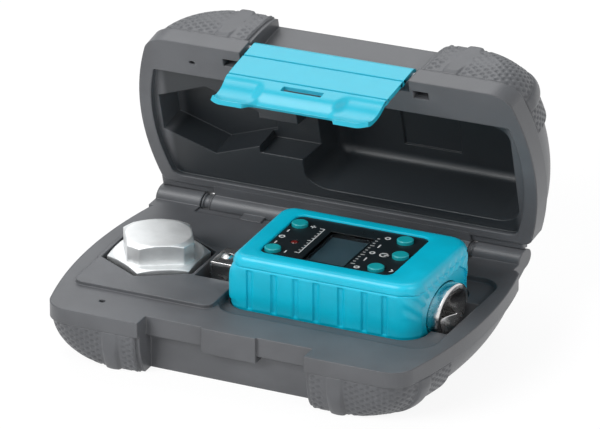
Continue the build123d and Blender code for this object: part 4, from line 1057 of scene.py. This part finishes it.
class ADAPTER_OT_inside(bpy.types.Operator):
    """Finishes the housing shells and everything inside them"""

    bl_idname = "adapter.inside"
    bl_label = "Inside pieces"

    def execute(self, context):
        shell = gloss_plastic("housing_plastic_finish", (0.012, 0.014, 0.016), 0.45, 0.0004)
        dress(shell, "housing_upper", "housing_lower", "battery_cover")
        dress(board("board_green_finish"), "circuit_board")
        dress(rubber("mat_grey_finish", (0.2, 0.2, 0.21), 0.6, 0.00002, 0.0003), "key_mat")
        dress(gloss_plastic("buzzer_finish", (0.015, 0.015, 0.016), 0.4, 0.0003), "buzzer")
        dress(gloss_plastic("cell_jacket_finish", (0.05, 0.055, 0.06), 0.3, 0.0003, 0.3), "batteries")
        dress(metal("spring_steel_finish", (0.6, 0.6, 0.58), 0.3, 0.00001, 0.2, 0.0001),
              "battery_contacts", "detent_spring")
        dress(metal("screw_steel_finish", (0.35, 0.36, 0.37), 0.32, 0.00001, 0.2, 0.0002),
              "housing_screws", "cover_screw")
        dress(metal("bush_brass_finish", (0.62, 0.42, 0.17), 0.3, 0.00001, 0.2, 0.0003),
              "male_bush", "female_bush")
        dress(metal("gauge_foil_finish", (0.75, 0.5, 0.3), 0.35, 0.000005, 0.2, 0.0001),
              "strain_gauges")
        return {"FINISHED"}


# Softboxes by their place and width in metres, and the floor in millimetres
SOFTBOXES = {
    "key": ((-0.75, -1.2, 1.35), 1.0),
    "side": ((1.2, -0.6, 1.2), 0.9),
    "top": ((-0.5, 1.0, 1.6), 1.4),
}
FLOOR_REACH = 40000.0
FLOOR_SEEN = 0.86
FLOOR_GLOW = 1.04


class ADAPTER_OT_stage(bpy.types.Operator):
    """Sets the floor, the studio light and the camera"""

    bl_idname = "adapter.stage"
    bl_label = "Stage"

    def execute(self, context):
        settings = context.scene.adapter_stage
        self.make_floor()
        self.make_world(context, settings)
        for name, box in SOFTBOXES.items():
            self.make_light(name, getattr(settings, f"{name}_power"), *box, settings.aim)
        self.make_camera(context, settings)
        context.scene.view_settings.view_transform = "Standard"
        return {"FINISHED"}

    def make_floor(self):
        """Wide pale floor that seen rays find almost white."""
        made = Finish("floor_finish", Base_Color=(0.9, 0.9, 0.9, 1.0))
        made.feed(Roughness=0.6 + 0.1 * made.noise(8.0))
        path = made.node("ShaderNodeLightPath").outputs
        seen, mirrored, refracted = [
            Value(made, path[f"Is {kind} Ray"]) for kind in ("Camera", "Glossy", "Transmission")]
        share = made.maths("MINIMUM", (seen + mirrored + refracted) * FLOOR_SEEN, FLOOR_SEEN)
        white = {"Color": (1.0, 1.0, 1.0, 1.0), "Strength": FLOOR_GLOW}
        glow = made.node("ShaderNodeEmission", {}, white)
        mixer = made.node("ShaderNodeMixShader", {}, {
            0: share, 1: made.shader.outputs[0], 2: glow.outputs[0]})
        output = next(n for n in made.tree.nodes if n.type == "OUTPUT_MATERIAL")
        made.tree.links.new(mixer.outputs[0], output.inputs["Surface"])
        reach = FLOOR_REACH
        corners = [(-reach, -reach, 0), (reach, -reach, 0), (reach, reach, 0), (-reach, reach, 0)]
        floor = add_mesh("floor", corners, [(0, 1, 2, 3)])
        floor.data.materials.append(made.material)

    def make_world(self, context, settings):
        """Even surroundings that seen, mirrored and refracted rays find white."""
        world = bpy.data.worlds.new("surroundings")
        world.use_nodes = True
        tree = world.node_tree
        rays = tree.nodes.new("ShaderNodeLightPath").outputs
        seen = rays["Is Camera Ray"]
        for kind in ("Is Glossy Ray", "Is Transmission Ray"):
            either = tree.nodes.new("ShaderNodeMath")
            either.operation = "MAXIMUM"
            tree.links.new(seen, either.inputs[0])
            tree.links.new(rays[kind], either.inputs[1])
            seen = either.outputs[0]
        strength = tree.nodes.new("ShaderNodeMapRange")
        strength.inputs["To Min"].default_value = settings.world_strength
        tree.links.new(seen, strength.inputs["Value"])
        background = tree.nodes["Background"]
        background.inputs["Color"].default_value = (0.96, 0.98, 1.0, 1.0)
        tree.links.new(strength.outputs["Result"], background.inputs["Strength"])
        context.scene.world = world

    def make_light(self, name, power, place, size, aim):
        """Square softbox that faces the object."""
        light = bpy.data.lights.new(name, "AREA")
        light.energy = power
        light.size = size
        lamp = add_object(name, light)
        lamp.location = place
        lamp.rotation_euler = (Vector(aim) - Vector(place)).to_track_quat("-Z", "Y").to_euler()

    def make_camera(self, context, settings):
        """Camera at the photograph's angle, with the photograph's sideways stretch."""
        turn, rise = settings.azimuth, settings.elevation
        back = Vector((sin(turn) * cos(rise), -cos(turn) * cos(rise), sin(rise)))
        right = Vector((cos(turn), sin(turn), 0.0))
        upward = back.cross(right)
        stretch = settings.stretch
        across = right / stretch - back * sqrt(1.0 - 1.0 / stretch ** 2)
        upright = upward * cos(settings.tilt) + back * sin(settings.tilt)
        place = Vector(settings.aim) + back * settings.distance
        data = bpy.data.cameras.new("camera")
        data.sensor_width = 36.0
        data.lens = settings.lens
        data.clip_start = 0.1
        data.clip_end = 80.0
        camera = add_object("camera", data)
        camera.parent = add_object("camera_mount")
        columns = (across.to_4d(), upright.to_4d(), back.to_4d(), place.to_4d())
        matrix = Matrix(columns).transposed()
        matrix[3] = (0.0, 0.0, 0.0, 1.0)
        camera.matrix_parent_inverse = matrix
        context.scene.camera = camera


class ADAPTER_PT_dressing(bpy.types.Panel):
    """Lists the steps that dress the adapter"""

    bl_idname = "ADAPTER_PT_dressing"
    bl_label = "Adapter dressing"
    bl_space_type = "VIEW_3D"
    bl_region_type = "UI"
    bl_category = "Adapter"

    def draw(self, context):
        column = self.layout.column()
        for operator in OPERATORS:
            column.operator(operator.bl_idname)


OPERATORS = (
    ADAPTER_OT_case, ADAPTER_OT_webs, ADAPTER_OT_grips, ADAPTER_OT_boot, ADAPTER_OT_latch,
    ADAPTER_OT_front, ADAPTER_OT_marks, ADAPTER_OT_buttons, ADAPTER_OT_drive,
    ADAPTER_OT_inside, ADAPTER_OT_stage,
)
SETTINGS = {
    "adapter_case": CaseSettings, "adapter_tool": AdapterSettings,
    "adapter_latch": LatchSettings, "adapter_stage": StageSettings,
}


def register():
    """Registers the settings, the operators and the panel."""
    for name, group in SETTINGS.items():
        bpy.utils.register_class(group)
        setattr(bpy.types.Scene, name, PointerProperty(type=group))
    for operator in OPERATORS:
        bpy.utils.register_class(operator)
    bpy.utils.register_class(ADAPTER_PT_dressing)


def unregister():
    """Takes the panel, the operators and the settings away again."""
    bpy.utils.unregister_class(ADAPTER_PT_dressing)
    for operator in reversed(OPERATORS):
        bpy.utils.unregister_class(operator)
    for name, group in reversed(SETTINGS.items()):
        delattr(bpy.types.Scene, name)
        bpy.utils.unregister_class(group)


def main():
    """Dresses the model."""
    register()
    for operator in OPERATORS:
        group, step = operator.bl_idname.split(".")
        if getattr(getattr(bpy.ops, group), step)() != {"FINISHED"}:
            raise RuntimeError(f"{operator.bl_label} didn't finish")


if __name__ == "__main__":
    main()
